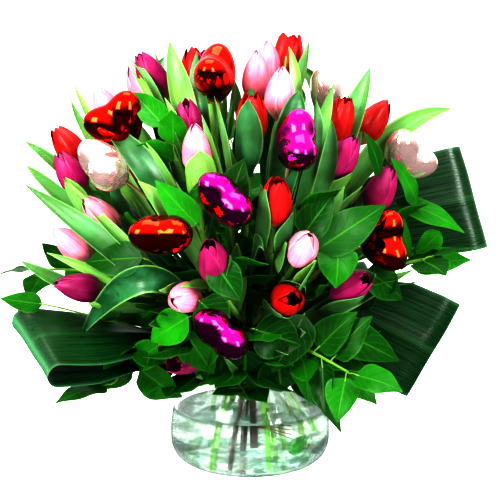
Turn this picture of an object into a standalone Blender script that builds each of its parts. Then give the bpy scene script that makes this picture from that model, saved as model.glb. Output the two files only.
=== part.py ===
"""Tulips, foil hearts and cut foliage standing in a low round glass vase.

Run with: blender --background --python part.py
Metres, +Z up. The origin is the centre of the vase's base, and the front of the
arrangement faces -Y. Every stem is one spiral-tied family of leaning lines through the
neck, where a tie binds them, so no two stems cross in the water.
"""

import math

import bmesh
import bpy
import numpy as np
from mathutils import Vector

# --- Clearances ------------------------------------------------------------------------
SEAT_GAP = 0.0003  # between touching pieces
STEM_GAP = 0.0014  # between neighbouring stems where they are bound
BUD_GAP = 0.004  # between neighbouring flowers and hearts
LEAF_GAP = 0.0012  # between a leaf and anything that is not its own stem
LEAF_COVER = 0.0036  # radius of the balls, about 5 mm apart, that stand for a placed leaf
WALL_COVER = 0.006  # radius of the balls that stand for the vase and the looped leaves
NEARBY = 0.11  # how far round a leaf other pieces are looked for

# --- Vase, blown glass -----------------------------------------------------------------
VASE_RADIUS = 0.088
VASE_WALL = 0.004
VASE_HEEL = 0.026  # radius of the turn from the base to the side
VASE_SIDE_TOP = 0.040  # height at which the shoulder starts to close in
VASE_SHOULDER = 0.078  # radius of the shoulder's arc
VASE_MOUTH_RADIUS = 0.056
VASE_COLLAR = 0.009  # straight collar above the shoulder
VASE_STEPS = 30
ARC_STEPS = 4
WATER_LEVEL = 0.060

# --- Binding ---------------------------------------------------------------------------
NECK_ABOVE_RIM = 0.005
NECK_FILL = 0.60  # share of the bound neck's area that is stem
FOOT_MARGIN = 0.006  # from the outermost foot to the edge of the vase's flat floor
NECK_LEAD = 24  # degrees that a stem's place in the neck trails its head
NECK_ROUNDS = 400  # rounds of pushing neighbours apart in the neck
TIE_RADIUS = 0.0014
TIE_DROP = 0.003  # from the neck, where the stems start to bend, down to the tie

# --- Flowers ---------------------------------------------------------------------------
TULIP_STEM = 0.0031  # radius
BUD_LENGTH = 0.056
BUD_RADIUS = 0.0185
BUD_PROFILE = ((0.14, 0.74), (0.38, 1.0), (0.66, 0.88), (0.88, 0.52), (1.0, 0.14))
STEM_SIDES = 6
STEM_BENDS = 4  # straight pieces above the neck
STEM_PULL = 0.38  # share of a bend's length over which it holds its end directions
STEM_ROUNDS = 30  # rounds of bowing stems apart
STEM_SAMPLE = 0.007
HEAD_ROUNDS = 90  # rounds of pushing heads apart
LEAF_THICKNESS = 0.0014
TULIP_LEAF_LENGTH = 0.125
TULIP_LEAF_HALF_WIDTH = 0.0115
TULIP_LEAF_DROP = 0.058  # below the bud
TULIP_LEAF_STEP = 0.014  # from the upper leaf's root down to the lower one's
TULIP_LEAF_SHARES = (1.0, 0.85)  # lengths of the upper and the lower leaf
TULIP_LEAF_ANGLE = 30  # degrees off the stem at the root
TULIP_LEAF_TIP_ANGLE = -8
TULIP_LEAF_OUTLINE = (0.34, 0.86, 1.0, 0.70, 0.06)

# --- Hearts on sticks ------------------------------------------------------------------
HEART_WIDTH = 0.062
HEART_LENGTH = 0.056
HEART_THICKNESS = 0.036
HEART_STICK = 0.0016  # radius
STICK_SIDES = 5
STICK_DEPTH = 0.4  # share of the heart's length that the stick goes in
HEART_SIDES = 14
HEART_LAYERS = ((-1.0, 0.48), (-0.72, 0.82), (0.0, 1.0), (0.72, 0.82), (1.0, 0.48))

# --- Foliage ---------------------------------------------------------------------------
WOODY_STEM = 0.0027  # radius
SALAL_LENGTH = 0.058
SALAL_HALF_WIDTH = 0.019
SALAL_OUTLINE = (0.10, 0.62, 1.0, 0.80, 0.05)
SALAL_LEAVES = 5
SALAL_ANGLE = 34
SALAL_TIP_ANGLE = 62
LOOP_HALF_WIDTH = 0.058
LOOP_THICKNESS = 0.0016
LOOP_STALK = 0.0024  # radius
LOOP_OUTLINE = (0.08, 0.72, 0.96, 1.0, 1.0, 1.0, 1.0, 1.0, 0.92, 0.6)

# --- The planting list -----------------------------------------------------------------
# Each flower: azimuth (0 is the front, positive to the right), tilt off the vertical and
# reach from the neck in mm to the middle of the head, and the lean of the head itself.
TULIPS = (
    ("red", -94, 40, 297, 36),
    ("purple", -83, 43, 280, 30),
    ("red", -96, 37, 243, 34),
    ("pink", -64, 46, 235, 40),
    ("pink", -81, 56, 231, 48),
    ("purple", -71, 65, 208, 78),
    ("pink", -98, 30, 315, 30),
    ("pink", -106, 23, 320, 26),
    ("purple", -77, 19, 324, 32),
    ("red", -99, 11, 316, 8),
    ("purple", -56, 10, 311, 6),
    ("purple", -28, 24, 285, 16),
    ("pink", -20, 32, 278, 18),
    ("pink", -2, 12, 312, 8),
    ("pink", 60, 4, 318, 4),
    ("red", 120, 8, 328, 6),
    ("pink", 18, 17, 304, 10),
    ("red", 2, 24, 288, 16),
    ("red", 52, 24, 284, 20),
    ("red", 84, 27, 290, 34),
    ("purple", 42, 31, 266, 38),
    ("purple", 66, 38, 240, 26),
    ("red", 10, 40, 244, 30),
    ("pink", 17, 48, 220, 52),
    ("red", 14, 59, 176, 80),
    ("purple", 42, 57, 178, 62),
    ("purple", -12, 50, 214, 40),
    ("pink", -22, 60, 186, 84),
    ("purple", -34, 80, 118, 96),
    ("pink", 128, 26, 306, 26),
    ("red", -142, 28, 306, 28),
    ("purple", 172, 30, 300, 28),
    ("pink", 158, 50, 262, 46),
    ("red", 128, 50, 240, 46),
    ("purple", -150, 52, 262, 48),
    ("pink", -116, 54, 254, 50),
    ("red", 180, 68, 214, 64),
)
# Each heart: azimuth, tilt and reach as a flower's, the azimuth and lean that its lobes
# face, and the direction that its width runs in.
HEARTS = (
    ("red", -59, 31, 300, -50, 40, (0.88, 0.0, 0.47)),
    ("red", -19, 16, 314, -10, 26, (0.25, 1.0, 0.1)),
    ("red", -27, 49, 238, -10, 80, (1.0, 0.0, 0.0)),
    ("red", 56, 49, 214, 38, 74, (0.1, 0.0, 1.0)),
    ("silver_pink", -50, 40, 284, -36, 62, (0.7, 0.0, -0.7)),
    ("silver_pink", 84, 37, 274, 50, 58, (0.9, 0.0, -0.42)),
    ("silver_pink", 102, 18, 298, 100, 20, (0.9, 0.3, 0.5)),
    ("magenta", -8, 44, 250, -4, 72, (0.7, 0.0, -0.7)),
    ("magenta", 16, 32, 280, 16, 56, (0.1, 0.0, 1.0)),
    ("magenta", -11, 68, 162, -6, 84, (0.76, 0.0, -0.64)),
)
# Each leafy sprig: azimuth, tilt, reach in mm to its tip, and the lean of the tip.
SALAL = (
    ("left", -93, 67, 244, 88),
    ("lower_left", -66, 95, 158, 108),
    ("lower_right", 34, 84, 172, 108),
    ("right", 68, 58, 224, 80),
    ("back", -172, 84, 196, 96),
)
# Each looped leaf: name, where it leaves the bunch, the tip of its fold, the direction of its
# width, and how far the returning half stands off (its sign says on which side), in mm.
LOOPS = (
    ("right_upper", (98, 30, 262), (250, 24, 292), (-0.25, 0.1, 0.97), -40),
    ("right_lower", (98, 4, 176), (200, -22, 128), (0.52, 0.1, 0.84), -40),
    ("left_lower", (-92, -26, 146), (-222, -98, 162), (0.45, -0.84, -0.3), -26),
    ("back_left", (-72, 66, 250), (-168, 126, 296), (0.31, -0.18, 0.9), 36),
    ("back_right", (60, 68, 138), (150, 160, 130), (-0.4, 0.455, 0.795), 36),
)

MATERIALS = {
    "red": ((0.62, 0.02, 0.02, 1), 0.4, 0),
    "pink": ((0.90, 0.42, 0.60, 1), 0.45, 0),
    "purple": ((0.42, 0.03, 0.26, 1), 0.4, 0),
    "foil_red": ((0.75, 0.02, 0.01, 1), 0.05, 1),
    "foil_silver_pink": ((0.88, 0.66, 0.68, 1), 0.05, 1),
    "foil_magenta": ((0.62, 0.02, 0.36, 1), 0.12, 1),
    "salal": ((0.03, 0.16, 0.03, 1), 0.35, 0),
    "aspidistra": ((0.01, 0.09, 0.02, 1), 0.3, 0),
    "glass": ((0.85, 0.95, 0.92, 0.3), 0.02, 0),
    "water": ((0.80, 0.92, 0.88, 0.4), 0.02, 0),
    "raffia": ((0.55, 0.42, 0.22, 1), 0.8, 0),
}


# --- Basic shapes ----------------------------------------------------------------------
def clear_scene():
    for thing in list(bpy.data.objects):
        bpy.data.objects.remove(thing, do_unlink=True)


def material(name):
    found = bpy.data.materials.get(name)
    if found:
        return found
    colour, roughness, metallic = MATERIALS[name]
    made = bpy.data.materials.new(name)
    made.use_nodes = True
    shader = made.node_tree.nodes["Principled BSDF"]
    shader.inputs["Base Color"].default_value = colour
    shader.inputs["Roughness"].default_value = roughness
    shader.inputs["Metallic"].default_value = metallic
    return made


def object_from(name, bm, finish):
    """A new object from a closed, evenly wound skin, turned to face outwards."""
    if bm.calc_volume(signed=True) < 0:
        bmesh.ops.reverse_faces(bm, faces=bm.faces)
    mesh = bpy.data.meshes.new(name)
    bm.to_mesh(mesh)
    bm.free()
    mesh.shade_smooth()
    mesh.materials.append(material(finish))
    made = bpy.data.objects.new(name, mesh)
    bpy.context.collection.objects.link(made)
    return made


def loft(bm, rings):
    """A closed skin through rings of equally many points, with a flat face at each end."""
    rows = [[bm.verts.new(point) for point in ring] for ring in rings]
    sides = len(rows[0])
    for low, high in zip(rows, rows[1:]):
        for i in range(sides):
            j = (i + 1) % sides
            bm.faces.new((low[i], low[j], high[j], high[i]))
    bm.faces.new(rows[0][::-1])
    bm.faces.new(rows[-1])


def turned(name, profile, finish):
    """A body turned about Z from a closed profile of (radius, height) points."""
    bm = bmesh.new()
    verts = [bm.verts.new((radius, 0, height)) for radius, height in profile]
    edges = [bm.edges.new(pair) for pair in zip(verts, verts[1:])]
    bmesh.ops.spin(
        bm, geom=verts + edges, cent=(0, 0, 0), axis=(0, 0, 1),
        angle=math.tau, steps=VASE_STEPS, use_merge=True,
    )
    bmesh.ops.remove_doubles(bm, verts=bm.verts, dist=1e-6)
    bmesh.ops.recalc_face_normals(bm, faces=bm.faces)
    return object_from(name, bm, finish)


def arc(centre, radius, start, end, steps=ARC_STEPS):
    """Points of an arc in the (radius, height) plane, angles in degrees."""
    angles = [math.radians(start + (end - start) * i / steps) for i in range(steps + 1)]
    return [(centre[0] + radius * math.cos(a), centre[1] + radius * math.sin(a)) for a in angles]


def join(base, extra):
    """Adds a closed piece to another with a Boolean union and applies it."""
    tool = base.modifiers.new("union", "BOOLEAN")
    tool.operation = "UNION"
    tool.solver = "EXACT"
    tool.object = extra
    bake(base, extra)


def cut(base, cutter):
    tool = base.modifiers.new("cut", "BOOLEAN")
    tool.operation = "DIFFERENCE"
    tool.solver = "EXACT"
    tool.use_self = True
    tool.object = cutter
    bake(base, cutter)


def bake(base, helper):
    """Keeps what the modifiers make, and removes the helper."""
    bpy.context.view_layer.update()
    evaluated = base.evaluated_get(bpy.context.evaluated_depsgraph_get())
    result = bpy.data.meshes.new_from_object(evaluated)
    base.modifiers.clear()
    base.data = result
    bpy.data.objects.remove(helper, do_unlink=True)


# --- Vase and water --------------------------------------------------------------------
def shoulder_end(inset):
    """Angle in degrees at which the shoulder's arc, set in by inset, meets the collar."""
    centre = VASE_RADIUS - VASE_SHOULDER
    return math.degrees(math.acos((VASE_MOUTH_RADIUS - inset - centre) / (VASE_SHOULDER - inset)))


def vase_rim():
    rise = VASE_SHOULDER * math.sin(math.radians(shoulder_end(0)))
    return VASE_SIDE_TOP + rise + VASE_COLLAR


def vase_side(inset, end):
    """Points up the vase's side, set in from the outside, to an angle on the shoulder."""
    heel = arc((VASE_RADIUS - VASE_HEEL, VASE_HEEL), VASE_HEEL - inset, -90, 0)
    shoulder = arc((VASE_RADIUS - VASE_SHOULDER, VASE_SIDE_TOP), VASE_SHOULDER - inset, 0, end)
    return heel + shoulder


def make_vase():
    outside = vase_side(0, shoulder_end(0)) + [(VASE_MOUTH_RADIUS, vase_rim())]
    inside = vase_side(VASE_WALL, shoulder_end(VASE_WALL))
    inside += [(VASE_MOUTH_RADIUS - VASE_WALL, vase_rim())]
    profile = [(0, 0)] + outside + inside[::-1] + [(0, VASE_WALL)]
    return turned("vase", profile, "glass")


def below_level(points, level):
    """The part of a rising outline up to a level, ending on it."""
    kept = [point for point in points if point[1] < level]
    low = kept[-1]
    high = points[len(kept)]
    share = (level - low[1]) / (high[1] - low[1])
    return kept + [(low[0] + (high[0] - low[0]) * share, level)]


def make_water(stems):
    """Fills the vase to its level, round every stem."""
    side = vase_side(VASE_WALL + SEAT_GAP, shoulder_end(VASE_WALL))
    profile = [(0, VASE_WALL + SEAT_GAP)] + below_level(side, WATER_LEVEL) + [(0, WATER_LEVEL)]
    water = turned("water", profile, "water")
    bm = bmesh.new()
    for stem in stems:
        ends = [stem.at_height(-VASE_WALL), stem.at_height(WATER_LEVEL + VASE_WALL)]
        radius = stem.radius + SEAT_GAP / math.cos(math.pi / stem.sides)
        loft(bm, [ring(*frame, radius, stem.sides) for frame in framed(ends)])
    cutter = object_from("stem_channels", bm, "water")
    cutter.hide_render = True
    cutter.display_type = "WIRE"
    cut(water, cutter)
    return water


# --- Directions and frames -------------------------------------------------------------
def direction(azimuth, tilt):
    a = math.radians(azimuth)
    t = math.radians(tilt)
    return Vector((math.sin(a) * math.sin(t), -math.cos(a) * math.sin(t), math.cos(t)))


def neck_centre():
    return Vector((0, 0, vase_rim() + NECK_ABOVE_RIM))


def spot(azimuth, tilt, reach_mm):
    return neck_centre() + direction(azimuth, tilt) * (reach_mm / 1000)


def square_to(axis, wanted):
    """The unit vector nearest to wanted that is square to axis."""
    flat = wanted - axis * wanted.dot(axis)
    return flat.normalized()


def framed(points):
    """Each point with two directions square to the path, carried along without twisting."""
    frames = []
    side_way = None
    for i, point in enumerate(points):
        before = points[max(i - 1, 0)]
        after = points[min(i + 1, len(points) - 1)]
        ahead = (after - before).normalized()
        seed = side_way if side_way else ahead.orthogonal()
        side_way = square_to(ahead, seed)
        frames.append((point, side_way, ahead.cross(side_way)))
    return frames


def ring(centre, side_way, up_way, radius, sides):
    angles = [math.tau * i / sides for i in range(sides)]
    return [centre + side_way * (radius * math.cos(a)) + up_way * (radius * math.sin(a)) for a in angles]


def curve_between(start, start_way, end, end_way, pieces):
    """Points of a smooth bend that leaves start and reaches end in the given directions."""
    pull = (end - start).length * STEM_PULL
    control = (start, start + start_way * pull, end - end_way * pull, end)
    points = []
    for i in range(pieces + 1):
        t = i / pieces
        weights = ((1 - t) ** 3, 3 * t * (1 - t) ** 2, 3 * t * t * (1 - t), t ** 3)
        points.append(sum((w * c for w, c in zip(weights, control)), Vector()))
    return points


# --- Stems -----------------------------------------------------------------------------
class Stem:
    """One stem: its seat in the bound neck, and the base and direction of what it carries."""

    def __init__(self, name, finish, radius, base, way, azimuth, tilt, sides=STEM_SIDES):
        self.name = name
        self.finish = finish
        self.radius = radius
        self.sides = sides
        self.base = base
        self.way = way
        self.azimuth = azimuth
        self.tilt = tilt
        self.seat = Vector((0, 0))
        self.bow = Vector()

    def slope(self):
        """The sideways run of the stem for each metre that it rises below the neck."""
        return Vector((-self.seat.y, self.seat.x)) * swirl()

    def at_height(self, z):
        rise = z - neck_centre().z
        run = self.seat + self.slope() * rise
        return Vector((run.x, run.y, z))

    def foot(self):
        lean = math.atan(self.slope().length)
        return self.at_height(VASE_WALL + SEAT_GAP + self.radius * math.sin(lean))

    def neck_way(self):
        run = self.slope()
        return Vector((run.x, run.y, 1)).normalized()

    def path(self):
        """The foot, the neck and the bend up to the head, bowed out in the middle."""
        neck = self.at_height(neck_centre().z)
        bend = curve_between(neck, self.neck_way(), self.base, self.way, STEM_BENDS)
        shares = [i / STEM_BENDS for i in range(STEM_BENDS + 1)]
        bowed = [point + self.bow * (4 * share * (1 - share)) for share, point in zip(shares, bend)]
        return [self.foot()] + bowed

    def rods(self):
        """Points above the neck with their radius and how far each follows the bow."""
        points = filled(self.path()[1:], STEM_SAMPLE)
        rows = []
        for i, point in enumerate(points):
            share = i / (len(points) - 1)
            rows.append((*point, self.radius, 4 * share * (1 - share)))
        for share in (0.2, 0.4, 0.6, 0.8) if self.name.startswith("tulip") else ():
            point = self.base + self.way * (BUD_LENGTH * share)
            rows.append((*point, BUD_RADIUS * bud_share(share), 0))
        return np.array(rows)


def neck_radius(stems):
    area = sum((stem.radius + STEM_GAP / 2) ** 2 for stem in stems)
    return math.sqrt(area / NECK_FILL)


BOUND = {}


def swirl():
    """Turn of the spiral, in radians of sideways run for each metre: the outermost feet
    reach the edge of the vase's flat floor."""
    spread = (VASE_RADIUS - VASE_HEEL - FOOT_MARGIN) / BOUND["radius"]
    return math.sqrt(spread ** 2 - 1) / (neck_centre().z - VASE_WALL)


def seat_in_neck(stems):
    """Steep heads keep the middle of the neck and wide ones its edge, then near stems part."""
    BOUND["radius"] = neck_radius(stems)
    widest = 1 - math.cos(math.radians(max(stem.tilt for stem in stems)))
    for stem in stems:
        share = math.sqrt((1 - math.cos(math.radians(stem.tilt))) / widest)
        lead = math.radians(stem.azimuth - NECK_LEAD)
        out = Vector((math.sin(lead), -math.cos(lead)))
        stem.seat = out * (BOUND["radius"] - stem.radius) * share
    for _ in range(NECK_ROUNDS):
        part_neighbours(stems)


def part_neighbours(stems):
    limit = BOUND["radius"]
    for i, one in enumerate(stems):
        for other in stems[:i]:
            room = one.radius + other.radius + STEM_GAP
            apart = one.seat - other.seat
            short = room - apart.length
            if short > 0:
                push = apart.normalized() * (short / 2)
                one.seat += push
                other.seat -= push
    for stem in stems:
        most = limit - stem.radius
        if stem.seat.length > most:
            stem.seat = stem.seat.normalized() * most


def part_stems(stems):
    """Bows stems that run too close above the neck away from each other."""
    for _ in range(STEM_ROUNDS):
        rods = [stem.rods() for stem in stems]
        moved = False
        for i, one in enumerate(rods):
            for j in range(i):
                other = rods[j]
                apart = one[:, None, :3] - other[None, :, :3]
                lengths = np.sqrt((apart ** 2).sum(axis=2))
                free = lengths - one[:, None, 3] - other[None, :, 3]
                a, b = np.unravel_index(free.argmin(), free.shape)
                if free[a, b] > STEM_GAP:
                    continue
                push = Vector(apart[a, b]).normalized() * ((STEM_GAP * 1.3 - free[a, b]) / 2)
                push *= 1 / max(one[a, 4], other[b, 4], 0.4)
                stems[i].bow = stems[i].bow + push
                stems[j].bow = stems[j].bow - push
                moved = True
        if not moved:
            return


def tie_place(stems):
    """Radius and height of the middle of the raffia, just outside the outermost stems."""
    height = neck_centre().z - TIE_DROP
    widths = []
    for stem in stems:
        level = stem.at_height(height)
        lean = math.atan(stem.slope().length)
        widths.append(math.hypot(level.x, level.y) + stem.radius / math.cos(lean))
    flat = math.cos(math.pi / VASE_STEPS)  # the ring's straight pieces cut in this far
    return (max(widths) + SEAT_GAP) / flat + TIE_RADIUS, height


def make_tie(stems):
    bm = bmesh.new()
    section = arc(tie_place(stems), TIE_RADIUS, 0, 360)[:-1]
    profile = [bm.verts.new((radius, 0, height)) for radius, height in section]
    edges = [bm.edges.new(pair) for pair in zip(profile, profile[1:] + profile[:1])]
    bmesh.ops.spin(
        bm, geom=profile + edges, cent=(0, 0, 0), axis=(0, 0, 1),
        angle=math.tau, steps=VASE_STEPS, use_merge=True,
    )
    bmesh.ops.remove_doubles(bm, verts=bm.verts, dist=1e-6)
    return object_from("binding_tie", bm, "raffia")


# --- Heads apart -----------------------------------------------------------------------
class Head:
    """A flower or heart as a rod of its own radius, used to keep the heads apart."""

    def __init__(self, middle, way, length, radius):
        self.middle = middle
        self.way = way
        self.length = length
        self.radius = radius

    def base(self):
        return self.middle - self.way * (self.length / 2)

    def samples(self, count=5):
        core = self.length / 2 - self.radius * 0.6
        steps = [2 * i / (count - 1) - 1 for i in range(count)]
        return np.array([self.middle + self.way * (core * step) for step in steps])


def part_heads(heads):
    """Pushes heads that are too close away from each other, a little at a time."""
    for _ in range(HEAD_ROUNDS):
        cores = [head.samples() for head in heads]
        for i, one in enumerate(heads):
            for j in range(i):
                other = heads[j]
                gaps = cores[i][:, None, :] - cores[j][None, :, :]
                lengths = np.sqrt((gaps ** 2).sum(axis=2))
                nearest = np.unravel_index(lengths.argmin(), lengths.shape)
                short = one.radius + other.radius + BUD_GAP - lengths[nearest]
                if short > 0:
                    push = Vector(gaps[nearest]).normalized() * (short / 2)
                    one.middle = one.middle + push
                    other.middle = other.middle - push


# --- Room for leaves -------------------------------------------------------------------
class Room:
    """What is already placed, as balls (x, y, z, radius), each with its owner's number."""

    def __init__(self):
        self.balls = np.zeros((0, 4))
        self.owners = np.zeros(0, int)

    def add(self, owner, points, radius):
        radii = np.broadcast_to(radius, (len(points),))
        rows = np.column_stack([np.array(points), radii])
        self.balls = np.vstack([self.balls, rows])
        self.owners = np.concatenate([self.owners, np.full(len(points), owner)])

    def clearance(self, owner, points):
        points = np.array(points)
        reach = np.abs(self.balls[:, :3] - points.mean(axis=0)).max(axis=1)
        others = self.balls[(self.owners != owner) & (reach < NEARBY)]
        if not len(others):
            return 1.0
        gaps = points[:, None, :] - others[None, :, :3]
        return float((np.sqrt((gaps ** 2).sum(axis=2)) - others[None, :, 3]).min())


def filled(points, spacing=0.004):
    """The points of a path with more between them, no further apart than spacing."""
    dense = []
    for start, end in zip(points, points[1:]):
        count = max(1, math.ceil((end - start).length / spacing))
        dense += [start.lerp(end, i / count) for i in range(count)]
    return dense + [points[-1]]


# --- Leaves ----------------------------------------------------------------------------
class Blade:
    """A leaf: a spine that bends in one plane, and an outline of half widths along it."""

    def __init__(self, root, ahead, out, length, half_width, outline, turn_in, turn_out):
        self.outline = [half_width * share for share in outline]
        self.across = ahead.cross(out).normalized()
        self.spine = [root]
        self.faces = []
        pieces = len(outline) - 1
        for i in range(pieces + 1):
            u = i / pieces
            angle = math.radians(turn_in + (turn_out - turn_in) * u)
            way = ahead * math.cos(angle) + out * math.sin(angle)
            self.faces.append(way.cross(self.across).normalized())
            if i < pieces:
                self.spine.append(self.spine[-1] + way * (length / pieces))

    def rings(self):
        rings = []
        for centre, up, half in zip(self.spine, self.faces, self.outline):
            keel = up * min(LEAF_THICKNESS, half)
            rings.append((centre - self.across * half, centre + self.across * half, centre - keel))
        return rings

    def samples(self):
        found = []
        rows = [(row[0], (row[0] + row[1]) / 2, row[1]) for row in self.rings()]
        for low, high in zip(rows, rows[1:]):
            for share in [i / 8 for i in range(8)]:
                cells = [a.lerp(b, share) for a, b in zip(low, high)]
                found += cells
                found += [cells[0].lerp(cells[1], 0.5), cells[1].lerp(cells[2], 0.5)]
        return found + list(rows[-1])


def best_blade(room, owner, shape, tries=18):
    """The leaf that stands clearest of its neighbours, over a turn round its stem."""
    blades = [shape(math.tau * i / tries) for i in range(tries)]
    frees = [room.clearance(owner, blade.samples()[12:]) for blade in blades]
    best = frees.index(max(frees))
    return frees[best], blades[best]


def add_blade(room, stem_object, owner, blade):
    bm = bmesh.new()
    loft(bm, blade.rings())
    extra = object_from("leaf", bm, "salal")
    join(stem_object, extra)
    room.add(owner, blade.samples(), LEAF_COVER)


# --- Flowers, hearts, sprigs and loops -------------------------------------------------
def tulip_rings(stem):
    rings = []
    points = stem.path()
    frames = framed(points + [stem.base + stem.way * BUD_LENGTH])
    for point, side_way, up_way in frames[:-1]:
        rings.append(ring(point, side_way, up_way, stem.radius, stem.sides))
    _, side_way, up_way = frames[-1]
    for share, width in BUD_PROFILE:
        centre = stem.base + stem.way * (BUD_LENGTH * share)
        rings.append(ring(centre, side_way, up_way, BUD_RADIUS * width, stem.sides))
    return rings


def rod_rings(stem, tip):
    return [ring(*frame, stem.radius, stem.sides) for frame in framed(stem.path() + [tip])]


def skin(name, rings, finish):
    bm = bmesh.new()
    loft(bm, rings)
    return object_from(name, bm, finish)


def heart_outline(turn):
    """A heart's outline with its tip at -1 and its lobes at +1, as (across, along)."""
    across = math.sin(turn) ** 3
    along = 13 * math.cos(turn) - 5 * math.cos(2 * turn) - 2 * math.cos(3 * turn) - math.cos(4 * turn)
    return across, (along + 2.5) / 14.5


def heart_rings(base, way, wide):
    """Layers through the heart's thickness, each its outline drawn in towards the middle."""
    across = square_to(way, Vector(wide))
    through = way.cross(across)
    middle = base + way * (HEART_LENGTH / 2)
    rings = []
    for depth, share in HEART_LAYERS:
        layer = []
        for i in range(HEART_SIDES):
            x, y = heart_outline(math.tau * (i + 0.5) / HEART_SIDES)
            point = middle + through * (depth * HEART_THICKNESS / 2)
            point += across * (x * share * HEART_WIDTH / 2)
            point += way * (y * share * HEART_LENGTH / 2)
            layer.append(point)
        rings.append(layer)
    return rings


def make_tulip(stem):
    return skin(stem.name, tulip_rings(stem), stem.finish)


def make_heart(stem, wide):
    tip = stem.base + stem.way * (HEART_LENGTH * STICK_DEPTH)
    stick = skin(stem.name, rod_rings(stem, tip), stem.finish)
    bm = bmesh.new()
    loft(bm, heart_rings(stem.base, stem.way, wide))
    join(stick, object_from("heart", bm, stem.finish))
    return stick


def blade_maker(root, ahead, length, half_width, outline, turn_in, turn_out):
    """A function from the angle round the stem to the leaf that stands there."""
    first = ahead.orthogonal().normalized()
    second = ahead.cross(first)

    def shape(turn):
        out = first * math.cos(turn) + second * math.sin(turn)
        return Blade(root, ahead, out, length, half_width, outline, turn_in, turn_out)

    return shape


def leaf_tulip(room, number, stem, made):
    """Two leaves from below the bud, the second lower and shorter than the first."""
    points = filled(stem.path())
    for step, share in enumerate(TULIP_LEAF_SHARES):
        drop = TULIP_LEAF_DROP + step * TULIP_LEAF_STEP
        root = min(points, key=lambda p: abs((p - stem.base).length - drop))
        ahead = (stem.base + stem.way * BUD_LENGTH - root).normalized()
        shape = blade_maker(
            root, ahead, TULIP_LEAF_LENGTH * share, TULIP_LEAF_HALF_WIDTH,
            TULIP_LEAF_OUTLINE, TULIP_LEAF_ANGLE, TULIP_LEAF_TIP_ANGLE,
        )
        free, blade = best_blade(room, number, shape)
        if free > 0 and own_clearance(stem, blade) > 0:
            add_blade(room, made, number, blade)
            room.add(number + 1000, blade.samples()[30:], LEAF_THICKNESS)


def own_clearance(stem, blade):
    """Gap from the leaf's upper part to its own bud."""
    gaps = []
    for point in blade.samples()[20:]:
        along = (point - stem.base).dot(stem.way)
        if 0 < along < BUD_LENGTH:
            off = (point - stem.base - stem.way * along).length
            gaps.append(off - BUD_RADIUS * bud_share(along / BUD_LENGTH))
    return min(gaps, default=1) - 0.0008


def bud_share(u):
    shares = [(0.0, TULIP_STEM / BUD_RADIUS)] + list(BUD_PROFILE)
    return float(np.interp(u, [s for s, _ in shares], [w for _, w in shares]))


def make_sprig(room, number, stem):
    """A woody stem with ovate leaves in turn along its outer part."""
    tip = stem.base + stem.way * 0.004
    made = skin(stem.name, rod_rings(stem, tip), stem.finish)
    points = filled(stem.path(), 0.006)
    last = len(points) - 1
    for i in range(SALAL_LEAVES):
        index = round(last * (1 - 0.12 * i))
        root = points[index]
        ahead = (points[min(index + 1, last)] - points[index - 1]).normalized()
        shape = blade_maker(
            root, ahead, SALAL_LENGTH, SALAL_HALF_WIDTH, SALAL_OUTLINE, SALAL_ANGLE, SALAL_TIP_ANGLE
        )
        free, blade = best_blade(room, number, shape)
        if free > 0:
            add_blade(room, made, number, blade)
            room.add(number + 1000, blade.samples()[12:], LEAF_THICKNESS)
    return made


def loop_spine(start, fold, wide, back):
    """Out from the stalk's end to the fold and round it, back beside the way out."""
    out_way = (fold - start).normalized()
    turn_way = out_way.cross(square_to(out_way, wide)) * math.copysign(1, back)
    radius = abs(back) / 2
    straight = (fold - start).length - radius
    points = [start + out_way * (straight * share) for share in (0.0, 0.3, 0.65, 1.0)]
    centre = points[-1] + turn_way * radius
    for i in range(1, 5):
        turn = math.radians(45 * i)
        points.append(centre - turn_way * (radius * math.cos(turn)) + out_way * (radius * math.sin(turn)))
    end = points[-1]
    points += [end - out_way * (straight * share) for share in (0.35, 0.7)]
    return points


def strip_frames(spine, wide):
    """Each point of the spine with the strip's width and thickness directions there."""
    frames = []
    for i, point in enumerate(spine):
        before = spine[max(i - 1, 0)]
        after = spine[min(i + 1, len(spine) - 1)]
        ahead = (after - before).normalized()
        across = square_to(ahead, wide)
        frames.append((point, across, ahead.cross(across)))
    return frames


def make_loop(stem, spine, wide):
    """A strap leaf on its stalk, folded over into a loop."""
    rings = []
    for (point, across, up), share in zip(strip_frames(spine, wide), LOOP_OUTLINE):
        half = across * (LOOP_HALF_WIDTH * share)
        thick = up * (LOOP_THICKNESS / 2)
        lower, upper = point - thick, point + thick
        rings.append((lower - half, lower + half, upper + half, upper - half))
    stalk = skin(stem.name, rod_rings(stem, spine[1]), stem.finish)
    join(stalk, skin("leaf", rings, stem.finish))
    return stalk


def loop_balls(spine, wide):
    balls = []
    for (point, across, _), share in zip(strip_frames(spine, wide), LOOP_OUTLINE):
        balls += [point + across * (LOOP_HALF_WIDTH * share * step / 8) for step in range(-8, 9)]
    return balls


# --- Assembly --------------------------------------------------------------------------
def plan_heads():
    """Places every flower and heart, and keeps them apart."""
    heads = []
    for colour, azimuth, tilt, reach, lean in TULIPS:
        heads.append(Head(spot(azimuth, tilt, reach), direction(azimuth, lean), BUD_LENGTH, BUD_RADIUS))
    for colour, azimuth, tilt, reach, facing, lean, wide in HEARTS:
        radius = (HEART_WIDTH + HEART_THICKNESS) / 4
        heads.append(Head(spot(azimuth, tilt, reach), direction(facing, lean), HEART_LENGTH, radius))
    part_heads(heads)
    return heads


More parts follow.
